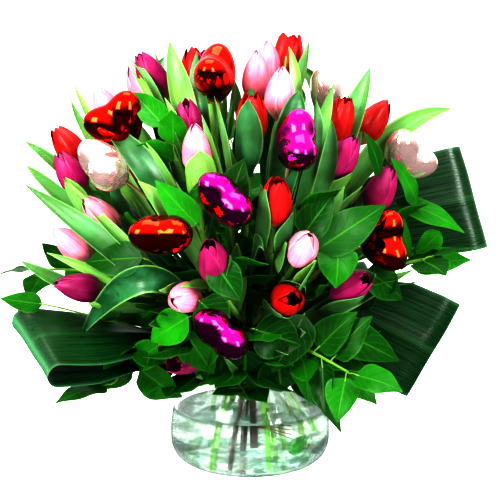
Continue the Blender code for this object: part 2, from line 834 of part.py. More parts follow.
def plan_stems(heads):
    stems = []
    for number, (row, head) in enumerate(zip(TULIPS, heads), 1):
        name = f"tulip_{row[0]}_{number:02d}"
        stems.append(Stem(name, row[0], TULIP_STEM, head.base(), head.way, row[1], row[2]))
    for number, (row, head) in enumerate(zip(HEARTS, heads[len(TULIPS):]), 1):
        name = f"heart_{row[0]}_{number:02d}"
        finish = "foil_" + row[0]
        stems.append(Stem(name, finish, HEART_STICK, head.base(), head.way, row[1], row[2], STICK_SIDES))
    for name, azimuth, tilt, reach, lean in SALAL:
        tip = spot(azimuth, tilt, reach)
        stems.append(Stem("salal_" + name, "salal", WOODY_STEM, tip, direction(azimuth, lean), azimuth, tilt))
    for name, start, fold, wide, back in LOOPS:
        base = Vector(start) / 1000
        way = (Vector(fold) / 1000 - base).normalized()
        azimuth = math.degrees(math.atan2(base.x, -base.y))
        tilt = math.degrees((base - neck_centre()).angle(Vector((0, 0, 1))))
        stems.append(Stem("aspidistra_" + name, "aspidistra", LOOP_STALK, base, way, azimuth, tilt))
    seat_in_neck(stems)
    part_stems(stems)
    return stems


def hoop(radius, height, count=60):
    """Points round a level circle about Z."""
    turns = [math.tau * i / count for i in range(count)]
    return [Vector((radius * math.cos(a), radius * math.sin(a), height)) for a in turns]


def fill_room(room, stems):
    room.add(-1, hoop(*tie_place(stems)), TIE_RADIUS + LEAF_GAP)
    for radius, height in vase_side(0, shoulder_end(0)) + [(VASE_MOUTH_RADIUS, vase_rim())]:
        room.add(-2, hoop(radius, height), WALL_COVER)
    for number, stem in enumerate(stems):
        room.add(number, filled(stem.path()), stem.radius + LEAF_GAP)
        if stem.name.startswith("tulip"):
            steps = [i / 10 for i in range(11)]
            middle = [stem.base + stem.way * (BUD_LENGTH * u) for u in steps]
            room.add(number, middle, [BUD_RADIUS * bud_share(u) + LEAF_GAP for u in steps])
        if stem.name.startswith("heart"):
            wide = HEARTS[number - len(TULIPS)][6]
            for layer in heart_rings(stem.base, stem.way, wide):
                room.add(number, layer, HEART_THICKNESS / 4)
            room.add(number, [stem.base + stem.way * (HEART_LENGTH * 0.55)], HEART_THICKNESS * 0.55)


def main():
    clear_scene()
    stems = plan_stems(plan_heads())
    room = Room()
    fill_room(room, stems)
    for number, row in enumerate(LOOPS, len(stems) - len(LOOPS)):
        name, start, fold, wide, back = row
        spine = loop_spine(Vector(start) / 1000, Vector(fold) / 1000, Vector(wide), back / 1000)
        room.add(number, loop_balls(spine, Vector(wide)), WALL_COVER)
        make_loop(stems[number], spine, Vector(wide))
    for number, stem in enumerate(stems):
        if stem.name.startswith("tulip"):
            leaf_tulip(room, number, stem, make_tulip(stem))
        elif stem.name.startswith("heart"):
            make_heart(stem, HEARTS[number - len(TULIPS)][6])
        elif stem.name.startswith("salal"):
            make_sprig(room, number, stem)
    make_vase()
    make_water(stems)
    make_tie(stems)


if __name__ == "__main__":
    main()
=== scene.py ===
"""Looks for a round glass vase of tulips, foil hearts and cut foliage.

Every stem follows the same planting list and the same rules as the solid part: the stems are
bound at the neck just above the vase's rim, and heads and stems are pushed apart in turn.
"""

import math
import random

import bmesh
import bpy
import numpy as np
from bpy.props import FloatProperty, FloatVectorProperty, IntProperty, PointerProperty
from mathutils import Matrix, Vector, noise


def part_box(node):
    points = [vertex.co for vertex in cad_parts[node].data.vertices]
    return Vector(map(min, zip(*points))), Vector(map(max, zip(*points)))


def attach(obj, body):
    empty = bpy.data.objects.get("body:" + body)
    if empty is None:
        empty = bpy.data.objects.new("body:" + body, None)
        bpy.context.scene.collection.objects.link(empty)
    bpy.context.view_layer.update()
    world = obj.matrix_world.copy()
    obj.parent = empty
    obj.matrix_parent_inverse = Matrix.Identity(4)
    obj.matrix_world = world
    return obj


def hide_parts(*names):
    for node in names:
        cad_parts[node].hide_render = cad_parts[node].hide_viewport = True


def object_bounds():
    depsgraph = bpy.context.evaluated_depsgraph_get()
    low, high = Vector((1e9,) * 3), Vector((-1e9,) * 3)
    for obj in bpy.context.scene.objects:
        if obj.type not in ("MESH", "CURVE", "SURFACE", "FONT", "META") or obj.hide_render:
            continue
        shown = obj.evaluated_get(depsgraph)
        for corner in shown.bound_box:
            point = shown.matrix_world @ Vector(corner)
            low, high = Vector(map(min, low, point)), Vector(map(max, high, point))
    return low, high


bl_info = {
    "name": "Tulips in a vase",
    "version": (1, 0, 0),
    "blender": (4, 5, 0),
    "location": "3D View > Sidebar > Bouquet",
    "description": "Builds tulips, foil hearts and foliage in a glass vase around the solid part",
    "category": "Add Mesh",
}

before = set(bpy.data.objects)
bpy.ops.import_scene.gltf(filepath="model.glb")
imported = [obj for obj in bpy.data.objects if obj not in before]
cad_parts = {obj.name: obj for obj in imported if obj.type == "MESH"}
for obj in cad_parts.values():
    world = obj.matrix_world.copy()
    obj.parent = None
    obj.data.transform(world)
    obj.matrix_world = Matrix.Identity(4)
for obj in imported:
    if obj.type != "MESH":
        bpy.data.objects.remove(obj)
CAD_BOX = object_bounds()
VASE_LOW, VASE_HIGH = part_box("vase")
WATER_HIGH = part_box("water")[1]
PLACE = "place"  # each vertex's place on its own surface: across, along and a tone

# --- Rules shared with the solid part, in metres -----------------------------------------
STEM_GAP = 0.0014
BUD_GAP = 0.004
NECK_ABOVE_RIM = 0.005
NECK_FILL = 0.60
NECK_LEAD = 24  # degrees that a stem's place in the neck trails its head
FOOT_MARGIN = 0.006
STEM_PULL = 0.38  # share of a bend's length over which it holds its end directions
TULIP_STEM = 0.0031
BUD_LENGTH = 0.056
BUD_RADIUS = 0.0185
BUD_PROFILE = ((0.0, 0.17), (0.14, 0.74), (0.38, 1.0), (0.66, 0.88), (0.88, 0.52), (1.0, 0.14))
HEART_WIDTH = 0.062
HEART_LENGTH = 0.056
HEART_THICKNESS = 0.036
HEART_STICK = 0.0016
WOODY_STEM = 0.0027
LOOP_HALF_WIDTH = 0.058
LOOP_STALK = 0.0024
LOOP_OUTLINE = (0.08, 0.72, 0.96, 1.0, 1.0, 1.0, 1.0, 1.0, 0.92, 0.6)
STEM_BENDS = 4
STEM_SAMPLE = 0.007
HEAD_ROUNDS = 90
NECK_ROUNDS = 400
STEM_ROUNDS = 30

# --- Rules of the looks alone, in metres ---------------------------------------------------
STALK_STEPS = 16
STALK_SINK = 0.006  # how far a stalk goes on down into the bound neck
WRAP_BELOW = 0.030  # a clasping leaf starts this far below the bud
WRAP_LAYER = 2.4e-6  # each further clasping leaf stands outside the last, by its number of points
LEAF_ROOT = 0.070  # from the bud down to the root of a stem leaf, and on to the next one
LEAF_ROOT_STEP = 0.016
LEAF_CLEAR = 0.002
SPRIG_CLEAR = 0.0015
FRONT_LEAF = 0.100  # length of a stem leaf at the front, and at the back
BACK_LEAF = 0.128
BUD_ROOM = 0.016  # what leaves keep clear of: buds, hearts, loops and the vase's side
HEART_ROOM = 0.024
LOOP_ROOM = 0.004
VASE_ROOM = 0.008
STRAP_THICKNESS = 0.0009
FILLING_TWIG = 0.0017
SHOWN_STALK = 0.0012
SIDE_TWIG = 0.0008
RAFFIA_RADIUS = 0.0011
RAFFIA_TURNS = 3
RAFFIA_STEPS = 24
FLOOR_REACH = 3
BOX_MARGIN = 0.004
HANG_HEIGHT = 0.088  # leaves beside the vase end above this height
HANG_REACH = 0.10
DOME_HEIGHT = 0.273
DOME_SHIFT = -0.016
DOME_RADIUS = 0.185
SPRIG_DROP = 1.22  # the dome reaches down past level by this less one, as a cosine
OUTWARD_FROM = Vector((0, 0, 0.2))  # leaves turn their faces away from this point

# --- Studio --------------------------------------------------------------------------------
CAMERA_PLACE = (0, -1.3, 0.425)
CAMERA_PITCH = 8.3  # degrees down
CAMERA_LENS = 86.6
GAMMA = 0.56
EXPOSURE = 1.05
LIT_POINT = (0, 0, 0.25)
# Each softbox: name, place, width, height and power in watts.
SOFTBOXES = (
    ("Left softbox", (-1.15, -1.25, 1.05), 0.75, 0.9, 36),
    ("Right softbox", (1.05, -1.35, 0.95), 0.55, 0.9, 24),
    ("Top softbox", (0, 0.1, 1.9), 1.2, 1.0, 24),
)

# --- The planting list --------------------------------------------------------------------
# Each flower: azimuth (0 is the front, positive to the right), tilt off the vertical, reach
# from the neck in mm to the middle of the head, the lean of the head, and how open it is.
TULIPS = (
    ("red", -94, 40, 297, 36, 0.5),
    ("purple", -83, 43, 280, 30, 0.2),
    ("red", -96, 37, 243, 34, 0.2),
    ("pink", -64, 46, 235, 40, 0.2),
    ("pink", -81, 56, 231, 48, 0.1),
    ("purple", -71, 65, 208, 78, 0.15),
    ("pink", -98, 30, 315, 30, 0.1),
    ("pink", -106, 23, 320, 26, 0.1),
    ("purple", -77, 19, 324, 32, 0.3),
    ("red", -99, 11, 316, 8, 0.4),
    ("purple", -56, 10, 311, 6, 0.3),
    ("purple", -28, 24, 285, 16, 0.3),
    ("pink", -20, 32, 278, 18, 0.1),
    ("pink", -2, 12, 312, 8, 0.1),
    ("pink", 60, 4, 318, 4, 0.1),
    ("red", 120, 8, 328, 6, 0.95),
    ("pink", 18, 17, 304, 10, 0.1),
    ("red", 2, 24, 288, 16, 0.5),
    ("red", 52, 24, 284, 20, 0.45),
    ("red", 84, 27, 290, 34, 0.3),
    ("purple", 42, 31, 266, 38, 0.2),
    ("purple", 66, 38, 240, 26, 0.3),
    ("red", 10, 40, 244, 30, 0.45),
    ("pink", 17, 48, 220, 52, 0.1),
    ("red", 14, 59, 176, 80, 0.5),
    ("purple", 42, 57, 178, 62, 0.45),
    ("purple", -12, 50, 214, 40, 0.4),
    ("pink", -22, 60, 186, 84, 0.05),
    ("purple", -34, 80, 118, 96, 0.7),
    ("pink", 128, 26, 306, 26, 0.2),
    ("red", -142, 28, 306, 28, 0.4),
    ("purple", 172, 30, 300, 28, 0.3),
    ("pink", 158, 50, 262, 46, 0.1),
    ("red", 128, 50, 240, 46, 0.5),
    ("purple", -150, 52, 262, 48, 0.3),
    ("pink", -116, 54, 254, 50, 0.2),
    ("red", 180, 68, 214, 64, 0.4),
)
# Each heart: azimuth, tilt and reach as a flower's, the azimuth and lean that its lobes
# face, and the direction that its width runs in.
HEARTS = (
    ("red", -59, 31, 300, -50, 40, (0.88, 0.0, 0.47)),
    ("red", -19, 16, 314, -10, 26, (0.25, 1.0, 0.1)),
    ("red", -27, 49, 238, -10, 80, (1.0, 0.0, 0.0)),
    ("red", 56, 49, 214, 38, 74, (0.1, 0.0, 1.0)),
    ("silver_pink", -50, 40, 284, -36, 62, (0.7, 0.0, -0.7)),
    ("silver_pink", 84, 37, 274, 50, 58, (0.9, 0.0, -0.42)),
    ("silver_pink", 102, 18, 298, 100, 20, (0.9, 0.3, 0.5)),
    ("magenta", -8, 44, 250, -4, 72, (0.7, 0.0, -0.7)),
    ("magenta", 16, 32, 280, 16, 56, (0.1, 0.0, 1.0)),
    ("magenta", -11, 68, 162, -6, 84, (0.76, 0.0, -0.64)),
)
# Each sprig of the solid part: azimuth, tilt, reach in mm to its tip, and the tip's lean.
SALAL = (
    ("left", -93, 67, 244, 88),
    ("lower_left", -66, 95, 158, 108),
    ("lower_right", 34, 84, 172, 108),
    ("right", 68, 58, 224, 80),
    ("back", -172, 84, 196, 96),
)
# Each looped leaf: start, tip of its fold, direction of its width, stand-off of its return.
LOOPS = (
    ("right_upper", (98, 30, 262), (250, 24, 292), (-0.25, 0.1, 0.97), -40),
    ("right_lower", (98, 4, 176), (200, -22, 128), (0.52, 0.1, 0.84), -40),
    ("left_lower", (-92, -26, 146), (-222, -98, 162), (0.45, -0.84, -0.3), -26),
    ("back_left", (-72, 66, 250), (-168, 126, 296), (0.31, -0.18, 0.9), 36),
    ("back_right", (60, 68, 138), (150, 160, 130), (-0.4, 0.455, 0.795), 36),
)

# --- Leaves that show, each where it stands in the bunch -----------------------------------
# Lance leaves of the tulips: tip and base as azimuth, tilt and reach in mm, half width in mm,
# turn of the face in degrees, bow in mm and tone (0 deep blue-green, 1 pale yellow-green).
LANCES = (
    ((-83, 14, 353), (-32, 25, 299), 13, 10, 8, 0.55),
    ((-72, 10, 338), (-24, 23, 301), 10, -25, 5, 0.25),
    ((-84, 22, 350), (-60, 21, 309), 5, 30, 4, 0.5),
    ((-85, 22, 335), (-58, 22, 300), 5, -20, 3, 0.9),
    ((-82, 32, 352), (-76, 34, 282), 6, 20, 5, 0.8),
    ((-83, 34, 340), (-85, 36, 276), 6, -30, -4, 0.65),
    ((-81, 45, 338), (-83, 44, 280), 7, 10, 6, 0.5),
    ((-81, 48, 320), (-82, 48, 262), 8, -20, 5, 0.55),
    ((-80, 51, 308), (-49, 54, 213), 14, 15, 12, 0.35),
    ((-83, 45, 290), (-47, 51, 226), 7, 30, 6, 0.8),
    ((-75, 32, 310), (-32, 39, 262), 15, 5, 10, 0.15),
    ((-37, 26, 318), (-26, 31, 275), 6, 15, 3, 0.8),
    ((-18, 29, 309), (-11, 35, 262), 6, -30, 3, 0.5),
    ((-15, 25, 318), (-9, 33, 268), 5, 40, 3, 0.45),
    ((82, 7, 340), (28, 22, 293), 8, -20, 5, 0.75),
    ((56, 19, 318), (28, 29, 270), 9, 25, 5, 0.6),
    ((84, 22, 340), (52, 27, 277), 13, -10, 8, 0.4),
    ((81, 38, 346), (85, 31, 280), 13, 0, 8, 0.6),
    ((-35, 42, 279), (-25, 45, 236), 12, 10, 4, 0.7),
    ((-36, 35, 297), (-30, 37, 255), 4, 0, 3, 0.6),
    ((24, 22, 315), (18, 27, 275), 16, 0, 4, 0.15),
    ((31, 24, 310), (28, 30, 264), 8, 25, 4, 0.3),
    ((34, 28, 300), (35, 33, 255), 9, -20, 4, 0.35),
    ((4, 52, 236), (0, 43, 205), 8, 60, -12, 0.3),
    ((20, 54, 224), (16, 56, 171), 8, -60, -12, 0.35),
    ((-74, 80, 190), (-38, 54, 208), 14, 0, 20, 0.1),
    ((-11, 76, 152), (-6, 118, 60), 9, 30, 10, 0.45),
    ((-56, 106, 100), (-35, 100, 56), 5, 0, 6, 0.7),
    ((-78, 65, 272), (-78, 67, 215), 8, 10, 5, 0.45),
    ((-80, 61, 250), (-71, 58, 190), 6, -30, 5, 0.9),
    ((79, 60, 204), (40, 60, 150), 11, 20, -8, 0.55),
    ((-100, 16, 340), (-70, 22, 290), 12, 20, 6, 0.3),
    ((140, 14, 330), (120, 22, 280), 13, 0, 8, 0.4),
    ((-160, 18, 336), (-150, 26, 280), 13, 20, 8, 0.3),
)
# Leaves wrapped round a flower: its number, turn in degrees, share of its length, width, tone.
WRAPS = (
    (13, 0, 0.62, 1.1, 0.75), (13, 150, 0.5, 1.0, 0.5), (18, -20, 0.95, 0.9, 0.2),
    (23, -60, 0.85, 0.8, 0.3), (23, 60, 0.45, 0.9, 0.2), (24, -70, 0.55, 0.7, 0.5),
    (24, 60, 0.6, 0.6, 0.65), (25, 90, 0.72, 1.0, 0.3), (25, -110, 0.75, 0.8, 0.45),
    (26, 180, 0.95, 1.2, 0.45), (26, 70, 0.8, 0.8, 0.3), (27, 60, 0.7, 0.8, 0.25),
    (28, 20, 0.9, 0.35, 0.95), (28, 110, 0.95, 0.35, 0.9), (21, 180, 0.5, 1.0, 0.6),
    (21, 60, 0.4, 0.9, 0.5), (19, -90, 0.7, 0.9, 0.45), (15, -30, 0.5, 0.5, 0.8),
    (15, 80, 0.7, 0.45, 0.8), (22, 200, 0.5, 0.9, 0.55), (5, 120, 0.55, 0.8, 0.7),
    (2, -30, 0.5, 0.6, 0.8), (8, 60, 0.7, 0.4, 0.9), (29, 90, 0.4, 0.6, 0.5),
)
# Glossy ovate leaves that show: tip and base as above, half width in mm and tone.
OVATES = (
    ((-76, 74, 279), (-76, 73, 236), 11, 0.5),
    ((-69, 95, 190), (-68, 91, 134), 13, 0.3),
    ((-53, 109, 96), (-67, 91, 127), 22, 0.5),
    ((-69, 90, 136), (-45, 76, 138), 15, 0.6),
    ((-41, 74, 158), (-22, 65, 176), 18, 0.9),
    ((-30, 41, 276), (-17, 46, 240), 14, 0.7),
    ((-62, 25, 320), (-38, 28, 292), 14, 0.6),
    ((-51, 91, 97), (-14, 68, 150), 20, 0.4),
    ((79, 58, 271), (83, 42, 236), 17, 0.6),
    ((77, 64, 264), (79, 58, 208), 16, 0.8),
    ((80, 57, 210), (80, 55, 250), 12, 0.7),
    ((69, 35, 272), (82, 46, 250), 15, 0.7),
    ((52, 30, 290), (63, 36, 254), 11, 0.3),
    ((79, 58, 206), (74, 44, 228), 10, 0.5),
    ((51, 44, 250), (24, 49, 214), 20, 0.3),
    ((29, 59, 200), (31, 49, 220), 21, 0.5),
    ((70, 87, 168), (33, 66, 150), 20, 0.3),
    ((49, 113, 100), (37, 75, 110), 21, 0.6),
    ((62, 103, 155), (64, 87, 104), 18, 0.5),
    ((52, 118, 138), (55, 103, 91), 9, 0.2),
    ((-20, 87, 108), (-26, 69, 157), 19, 0.5),
    ((-3, 61, 196), (-11, 53, 217), 17, 0.2),
    ((-14, 41, 268), (-22, 38, 250), 16, 0.3),
    ((22, 73, 142), (2, 67, 156), 24, 0.1),
    ((-6, 112, 66), (-2, 74, 124), 26, 0.1),
    ((-7, 68, 170), (-17, 61, 188), 20, 0.2),
    ((10, 84, 128), (24, 62, 150), 22, 0.1),
    ((-30, 100, 84), (-20, 76, 120), 22, 0.15),
    ((24, 104, 84), (14, 78, 118), 24, 0.15),
    ((66, 66, 190), (50, 54, 190), 18, 0.25),
    ((-60, 58, 226), (-40, 52, 210), 18, 0.2),
    ((30, 40, 254), (20, 44, 214), 17, 0.2),
    ((-2, 34, 276), (-8, 38, 236), 16, 0.1),
)
# Cut stems that stand in the water: top and foot in mm, radius in mm, and finish.
WATER_STEMS = (
    ("green_woody", (-20, -22, 88), (-36, -34, 6), 3.4, "twig_green"),
    ("brown_slim", (-5, -30, 92), (-19, -36, 6), 2.5, "bark"),
    ("brown_thick", (2, -18, 96), (4, -14, 21), 4.0, "bark"),
    ("tulip_front", (12, -24, 96), (18, -34, 6), 2.8, "stem_green"),
    ("tulip_behind", (14, -4, 96), (24, -10, 5), 2.6, "stem_green"),
    ("tulip_right", (24, -12, 100), (64, -26, 40), 2.8, "stem_green"),
    ("tulip_right_low", (34, 4, 96), (47, 8, 28), 2.9, "stem_green"),
    ("pale_twig", (30, -16, 98), (54, -18, 21), 1.6, "twig_pale"),
    ("tulip_left", (-30, 2, 96), (-44, 6, 42), 2.8, "stem_green"),
    ("tulip_back", (-8, 22, 100), (-30, 40, 6), 2.8, "stem_green"),
    ("tulip_back_right", (10, 24, 100), (30, 36, 6), 2.8, "stem_green"),
    ("brown_back", (0, 14, 98), (-6, 30, 6), 3.0, "bark"),
)
# Leaf scraps in the water: base, tip and half width, in mm.
LEAF_SCRAPS = (
    ((38, -34, 20), (60, -34, 38), 8),
    ((52, 20, 50), (74, 10, 58), 8),
    ((-52, 26, 48), (-66, 16, 58), 6),
)


# --- What a user would change ---------------------------------------------------------------
def length(name, text, default):
    return FloatProperty(name=name, description=text, default=default, unit="LENGTH", precision=4)


def colour(name, text, default):
    return FloatVectorProperty(
        name=name, description=text, default=default, size=3, subtype="COLOR", min=0, max=1
    )


class VaseSizes(bpy.types.PropertyGroup):
    """The glass bowl and its water."""

    wall: length("Wall", "Thickness of the glass", 0.004)
    heel: length("Heel", "Radius of the turn from the base to the side", 0.026)
    side_top: length("Side top", "Height at which the shoulder starts to close in", 0.040)
    shoulder: length("Shoulder", "Radius of the shoulder's arc", 0.078)
    mouth: length("Mouth", "Outer radius of the mouth", 0.056)
    rim: length("Rim", "Radius of the melted edge at the mouth", 0.0019)
    meniscus: length("Meniscus", "Rise of the water where it wets the glass", 0.0012)


class FlowerSizes(bpy.types.PropertyGroup):
    """Tulips and hearts."""

    bud_length: length("Bud length", "From the stem's end to the petals' tips", 0.056)
    bud_radius: length("Bud radius", "At the belly of a closed flower", 0.0152)
    petal: length("Petal", "Thickness of a petal", 0.0005)
    heart_width: length("Heart width", "Across both lobes", 0.062)
    heart_depth: length("Heart depth", "Through the lobes", 0.041)
    crinkle: length("Crinkle", "Depth of the dents in the crinkled foil", 0.0011)


class FoliageSizes(bpy.types.PropertyGroup):
    """Leaves and sprigs."""

    leaf: length("Leaf", "Thickness of a leaf", 0.0006)
    ovate_length: length("Ovate length", "Length of a glossy leaf on a sprig", 0.054)
    ovate_half: length("Ovate half width", "Half the width of a glossy leaf", 0.017)
    sprigs: IntProperty(name="Sprigs", description="Sprigs that fill the dome", default=48, min=5)


class Colours(bpy.types.PropertyGroup):
    """The main colour of each finish."""

    red: colour("Red petals", "Main colour of the red tulips", (0.42, 0.001, 0.0015))
    pink: colour("Pink petals", "Main colour of the pink tulips", (0.84, 0.27, 0.36))
    purple: colour("Purple petals", "Main colour of the purple tulips", (0.30, 0.005, 0.10))
    tulip_leaf: colour("Tulip leaves", "Blue-green of the lance leaves", (0.006, 0.145, 0.035))
    salal: colour("Salal leaves", "Green of the glossy leaves", (0.003, 0.115, 0.002))
    strap: colour("Strap leaves", "Deep green of the looped leaves", (0.001, 0.030, 0.004))
    foil_red: colour("Red foil", "Reflection colour of the red hearts", (0.95, 0.022, 0.006))
    foil_pink: colour("Pale foil", "Reflection colour of the pale hearts", (0.96, 0.70, 0.66))
    foil_magenta: colour("Magenta foil", "Reflection colour of the crinkled hearts", (0.80, 0.02, 0.50))
    glass: colour("Glass", "Tint of the glass", (0.95, 0.985, 0.97))
    water: colour("Water", "Tint of the water", (0.91, 0.95, 0.92))


class Bouquet(bpy.types.PropertyGroup):
    """Everything that can be set."""

    vase: PointerProperty(type=VaseSizes)
    flower: PointerProperty(type=FlowerSizes)
    foliage: PointerProperty(type=FoliageSizes)
    colours: PointerProperty(type=Colours)


def settings():
    return bpy.context.scene.bouquet


# --- Directions and paths -------------------------------------------------------------------
def direction(azimuth, tilt):
    a = math.radians(azimuth)
    t = math.radians(tilt)
    return Vector((math.sin(a) * math.sin(t), -math.cos(a) * math.sin(t), math.cos(t)))


def neck_centre():
    return Vector((0, 0, VASE_HIGH.z + NECK_ABOVE_RIM))


def spot(azimuth, tilt, reach_mm):
    return neck_centre() + direction(azimuth, tilt) * (reach_mm / 1000)


def square_to(axis, wanted):
    """The unit vector nearest to wanted that is square to axis."""
    return (wanted - axis * wanted.dot(axis)).normalized()


def framed(points):
    """Each point with the path's direction and two more square to it, without twisting."""
    frames = []
    side_way = None
    for i, point in enumerate(points):
        before = points[max(i - 1, 0)]
        after = points[min(i + 1, len(points) - 1)]
        ahead = (after - before).normalized()
        side_way = square_to(ahead, side_way if side_way else ahead.orthogonal())
        frames.append((point, side_way, ahead.cross(side_way), ahead))
    return frames


def bezier(control, pieces):
    """Points along the curve that four control points give."""
    points = []
    for i in range(pieces + 1):
        t = i / pieces
        weights = ((1 - t) ** 3, 3 * t * (1 - t) ** 2, 3 * t * t * (1 - t), t ** 3)
        points.append(sum((w * c for w, c in zip(weights, control)), Vector()))
    return points


def curve_between(start, start_way, end, end_way, pieces):
    pull = (end - start).length * STEM_PULL
    return bezier((start, start + start_way * pull, end - end_way * pull, end), pieces)


def filled(points, spacing=0.004):
    dense = []
    for start, end in zip(points, points[1:]):
        count = max(1, math.ceil((end - start).length / spacing))
        dense += [start.lerp(end, i / count) for i in range(count)]
    return dense + [points[-1]]


# --- Heads and stems, pushed apart ----------------------------------------------------------
class Head:
    """A flower or heart as a rod of its own radius."""

    def __init__(self, middle, way, size, radius):
        self.middle = middle
        self.way = way
        self.size = size
        self.radius = radius

    def base(self):
        return self.middle - self.way * (self.size / 2)

    def samples(self, count=5):
        core = self.size / 2 - self.radius * 0.6
        steps = [2 * i / (count - 1) - 1 for i in range(count)]
        return np.array([self.middle + self.way * (core * step) for step in steps])


def part_heads(heads):
    for _ in range(HEAD_ROUNDS):
        cores = [head.samples() for head in heads]
        for i, one in enumerate(heads):
            for j in range(i):
                other = heads[j]
                gaps = cores[i][:, None, :] - cores[j][None, :, :]
                lengths = np.sqrt((gaps ** 2).sum(axis=2))
                nearest = np.unravel_index(lengths.argmin(), lengths.shape)
                short = one.radius + other.radius + BUD_GAP - lengths[nearest]
                if short > 0:
                    push = Vector(gaps[nearest]).normalized() * (short / 2)
                    one.middle = one.middle + push
                    other.middle = other.middle - push


def bud_share(u):
    return float(np.interp(u, [s for s, _ in BUD_PROFILE], [w for _, w in BUD_PROFILE]))


class Stem:
    """One stem: its seat in the bound neck, and the base and direction of what it carries."""

    swirl = 0.0

    def __init__(self, node, radius, base, way, azimuth, tilt, is_tulip=False):
        self.node = node
        self.radius = radius
        self.base = base
        self.way = way
        self.azimuth = azimuth
        self.tilt = tilt
        self.is_tulip = is_tulip
        self.seat = Vector((0, 0))
        self.bow = Vector()

    def neck(self):
        return Vector((self.seat.x, self.seat.y, neck_centre().z))

    def neck_way(self):
        run = Vector((-self.seat.y, self.seat.x)) * Stem.swirl
        return Vector((run.x, run.y, 1)).normalized()

    def path(self, pieces=STEM_BENDS):
        """The bend from the neck to the head, bowed out in the middle."""
        bend = curve_between(self.neck(), self.neck_way(), self.base, self.way, pieces)
        shares = [i / pieces for i in range(pieces + 1)]
        return [point + self.bow * (4 * s * (1 - s)) for s, point in zip(shares, bend)]

    def stalk(self):
        """The bend in fine steps, going on a little way down into the neck."""
        points = self.path(STALK_STEPS)
        points[0] = points[0] - self.neck_way() * STALK_SINK
        return points

    def rods(self):
        points = filled(self.path(), STEM_SAMPLE)
        rows = []
        for i, point in enumerate(points):
            share = i / (len(points) - 1)
            rows.append((*point, self.radius, 4 * share * (1 - share)))
        for share in (0.2, 0.4, 0.6, 0.8) if self.is_tulip else ():
            point = self.base + self.way * (BUD_LENGTH * share)
            rows.append((*point, BUD_RADIUS * bud_share(share), 0))
        return np.array(rows)


def seat_in_neck(stems):
    """Steep heads keep the middle of the neck and wide ones its edge, then near stems part."""
    area = sum((stem.radius + STEM_GAP / 2) ** 2 for stem in stems)
    limit = math.sqrt(area / NECK_FILL)
    floor = VASE_HIGH.x - settings().vase.heel - FOOT_MARGIN
    wall = settings().vase.wall
    Stem.swirl = math.sqrt((floor / limit) ** 2 - 1) / (neck_centre().z - wall)
    widest = 1 - math.cos(math.radians(max(stem.tilt for stem in stems)))
    for stem in stems:
        share = math.sqrt((1 - math.cos(math.radians(stem.tilt))) / widest)
        lead = math.radians(stem.azimuth - NECK_LEAD)
        stem.seat = Vector((math.sin(lead), -math.cos(lead))) * ((limit - stem.radius) * share)
    for _ in range(NECK_ROUNDS):
        for i, one in enumerate(stems):
            for other in stems[:i]:
                apart = one.seat - other.seat
                short = one.radius + other.radius + STEM_GAP - apart.length
                if short > 0:
                    push = apart.normalized() * (short / 2)
                    one.seat += push
                    other.seat -= push
        for stem in stems:
            if stem.seat.length > limit - stem.radius:
                stem.seat = stem.seat.normalized() * (limit - stem.radius)


def part_stems(stems):
    """Bows stems that run too close above the neck away from each other."""
    for _ in range(STEM_ROUNDS):
        rods = [stem.rods() for stem in stems]
        moved = False
        for i, one in enumerate(rods):
            for j in range(i):
                other = rods[j]
                apart = one[:, None, :3] - other[None, :, :3]
                free = np.sqrt((apart ** 2).sum(axis=2)) - one[:, None, 3] - other[None, :, 3]
                a, b = np.unravel_index(free.argmin(), free.shape)
                if free[a, b] > STEM_GAP:
                    continue
                push = Vector(apart[a, b]).normalized() * ((STEM_GAP * 1.3 - free[a, b]) / 2)
                push *= 1 / max(one[a, 4], other[b, 4], 0.4)
                stems[i].bow = stems[i].bow + push
                stems[j].bow = stems[j].bow - push
                moved = True
        if not moved:
            return


def plan():
    """Every stem of the solid part, in the order of the planting list."""
    heads = []
    for _, azimuth, tilt, reach, lean, _ in TULIPS:
        heads.append(Head(spot(azimuth, tilt, reach), direction(azimuth, lean), BUD_LENGTH, BUD_RADIUS))
    for _, azimuth, tilt, reach, facing, lean, _ in HEARTS:
        radius = (HEART_WIDTH + HEART_THICKNESS) / 4
        heads.append(Head(spot(azimuth, tilt, reach), direction(facing, lean), HEART_LENGTH, radius))
    part_heads(heads)
    stems = []
    for i, (row, head) in enumerate(zip(TULIPS, heads), 1):
        node = f"tulip_{row[0]}_{i:02d}"
        stems.append(Stem(node, TULIP_STEM, head.base(), head.way, row[1], row[2], True))
    for i, (row, head) in enumerate(zip(HEARTS, heads[len(TULIPS):]), 1):
        node = f"heart_{row[0]}_{i:02d}"
        stems.append(Stem(node, HEART_STICK, head.base(), head.way, row[1], row[2]))
    for name, azimuth, tilt, reach, lean in SALAL:
        tip = spot(azimuth, tilt, reach)
        stems.append(Stem("salal_" + name, WOODY_STEM, tip, direction(azimuth, lean), azimuth, tilt))
    for name, start, fold, _, _ in LOOPS:
        base = Vector(start) / 1000
        way = (Vector(fold) / 1000 - base).normalized()
        azimuth = math.degrees(math.atan2(base.x, -base.y))
        tilt = math.degrees((base - neck_centre()).angle(Vector((0, 0, 1))))
        stems.append(Stem("aspidistra_" + name, LOOP_STALK, base, way, azimuth, tilt))
    seat_in_neck(stems)
    part_stems(stems)
    return stems


class Room:
    """What is already placed, as balls (x, y, z, radius)."""

    def __init__(self):
        self.balls = np.zeros((0, 4))

    def add(self, points, radius):
        radii = np.broadcast_to(radius, (len(points),))
        self.balls = np.vstack([self.balls, np.column_stack([np.array(points), radii])])

    def clearance(self, points):
        points = np.array(points)
        gaps = points[:, None, :] - self.balls[None, :, :3]
        return float((np.sqrt((gaps ** 2).sum(axis=2)) - self.balls[None, :, 3]).min())


PLANNED = {}


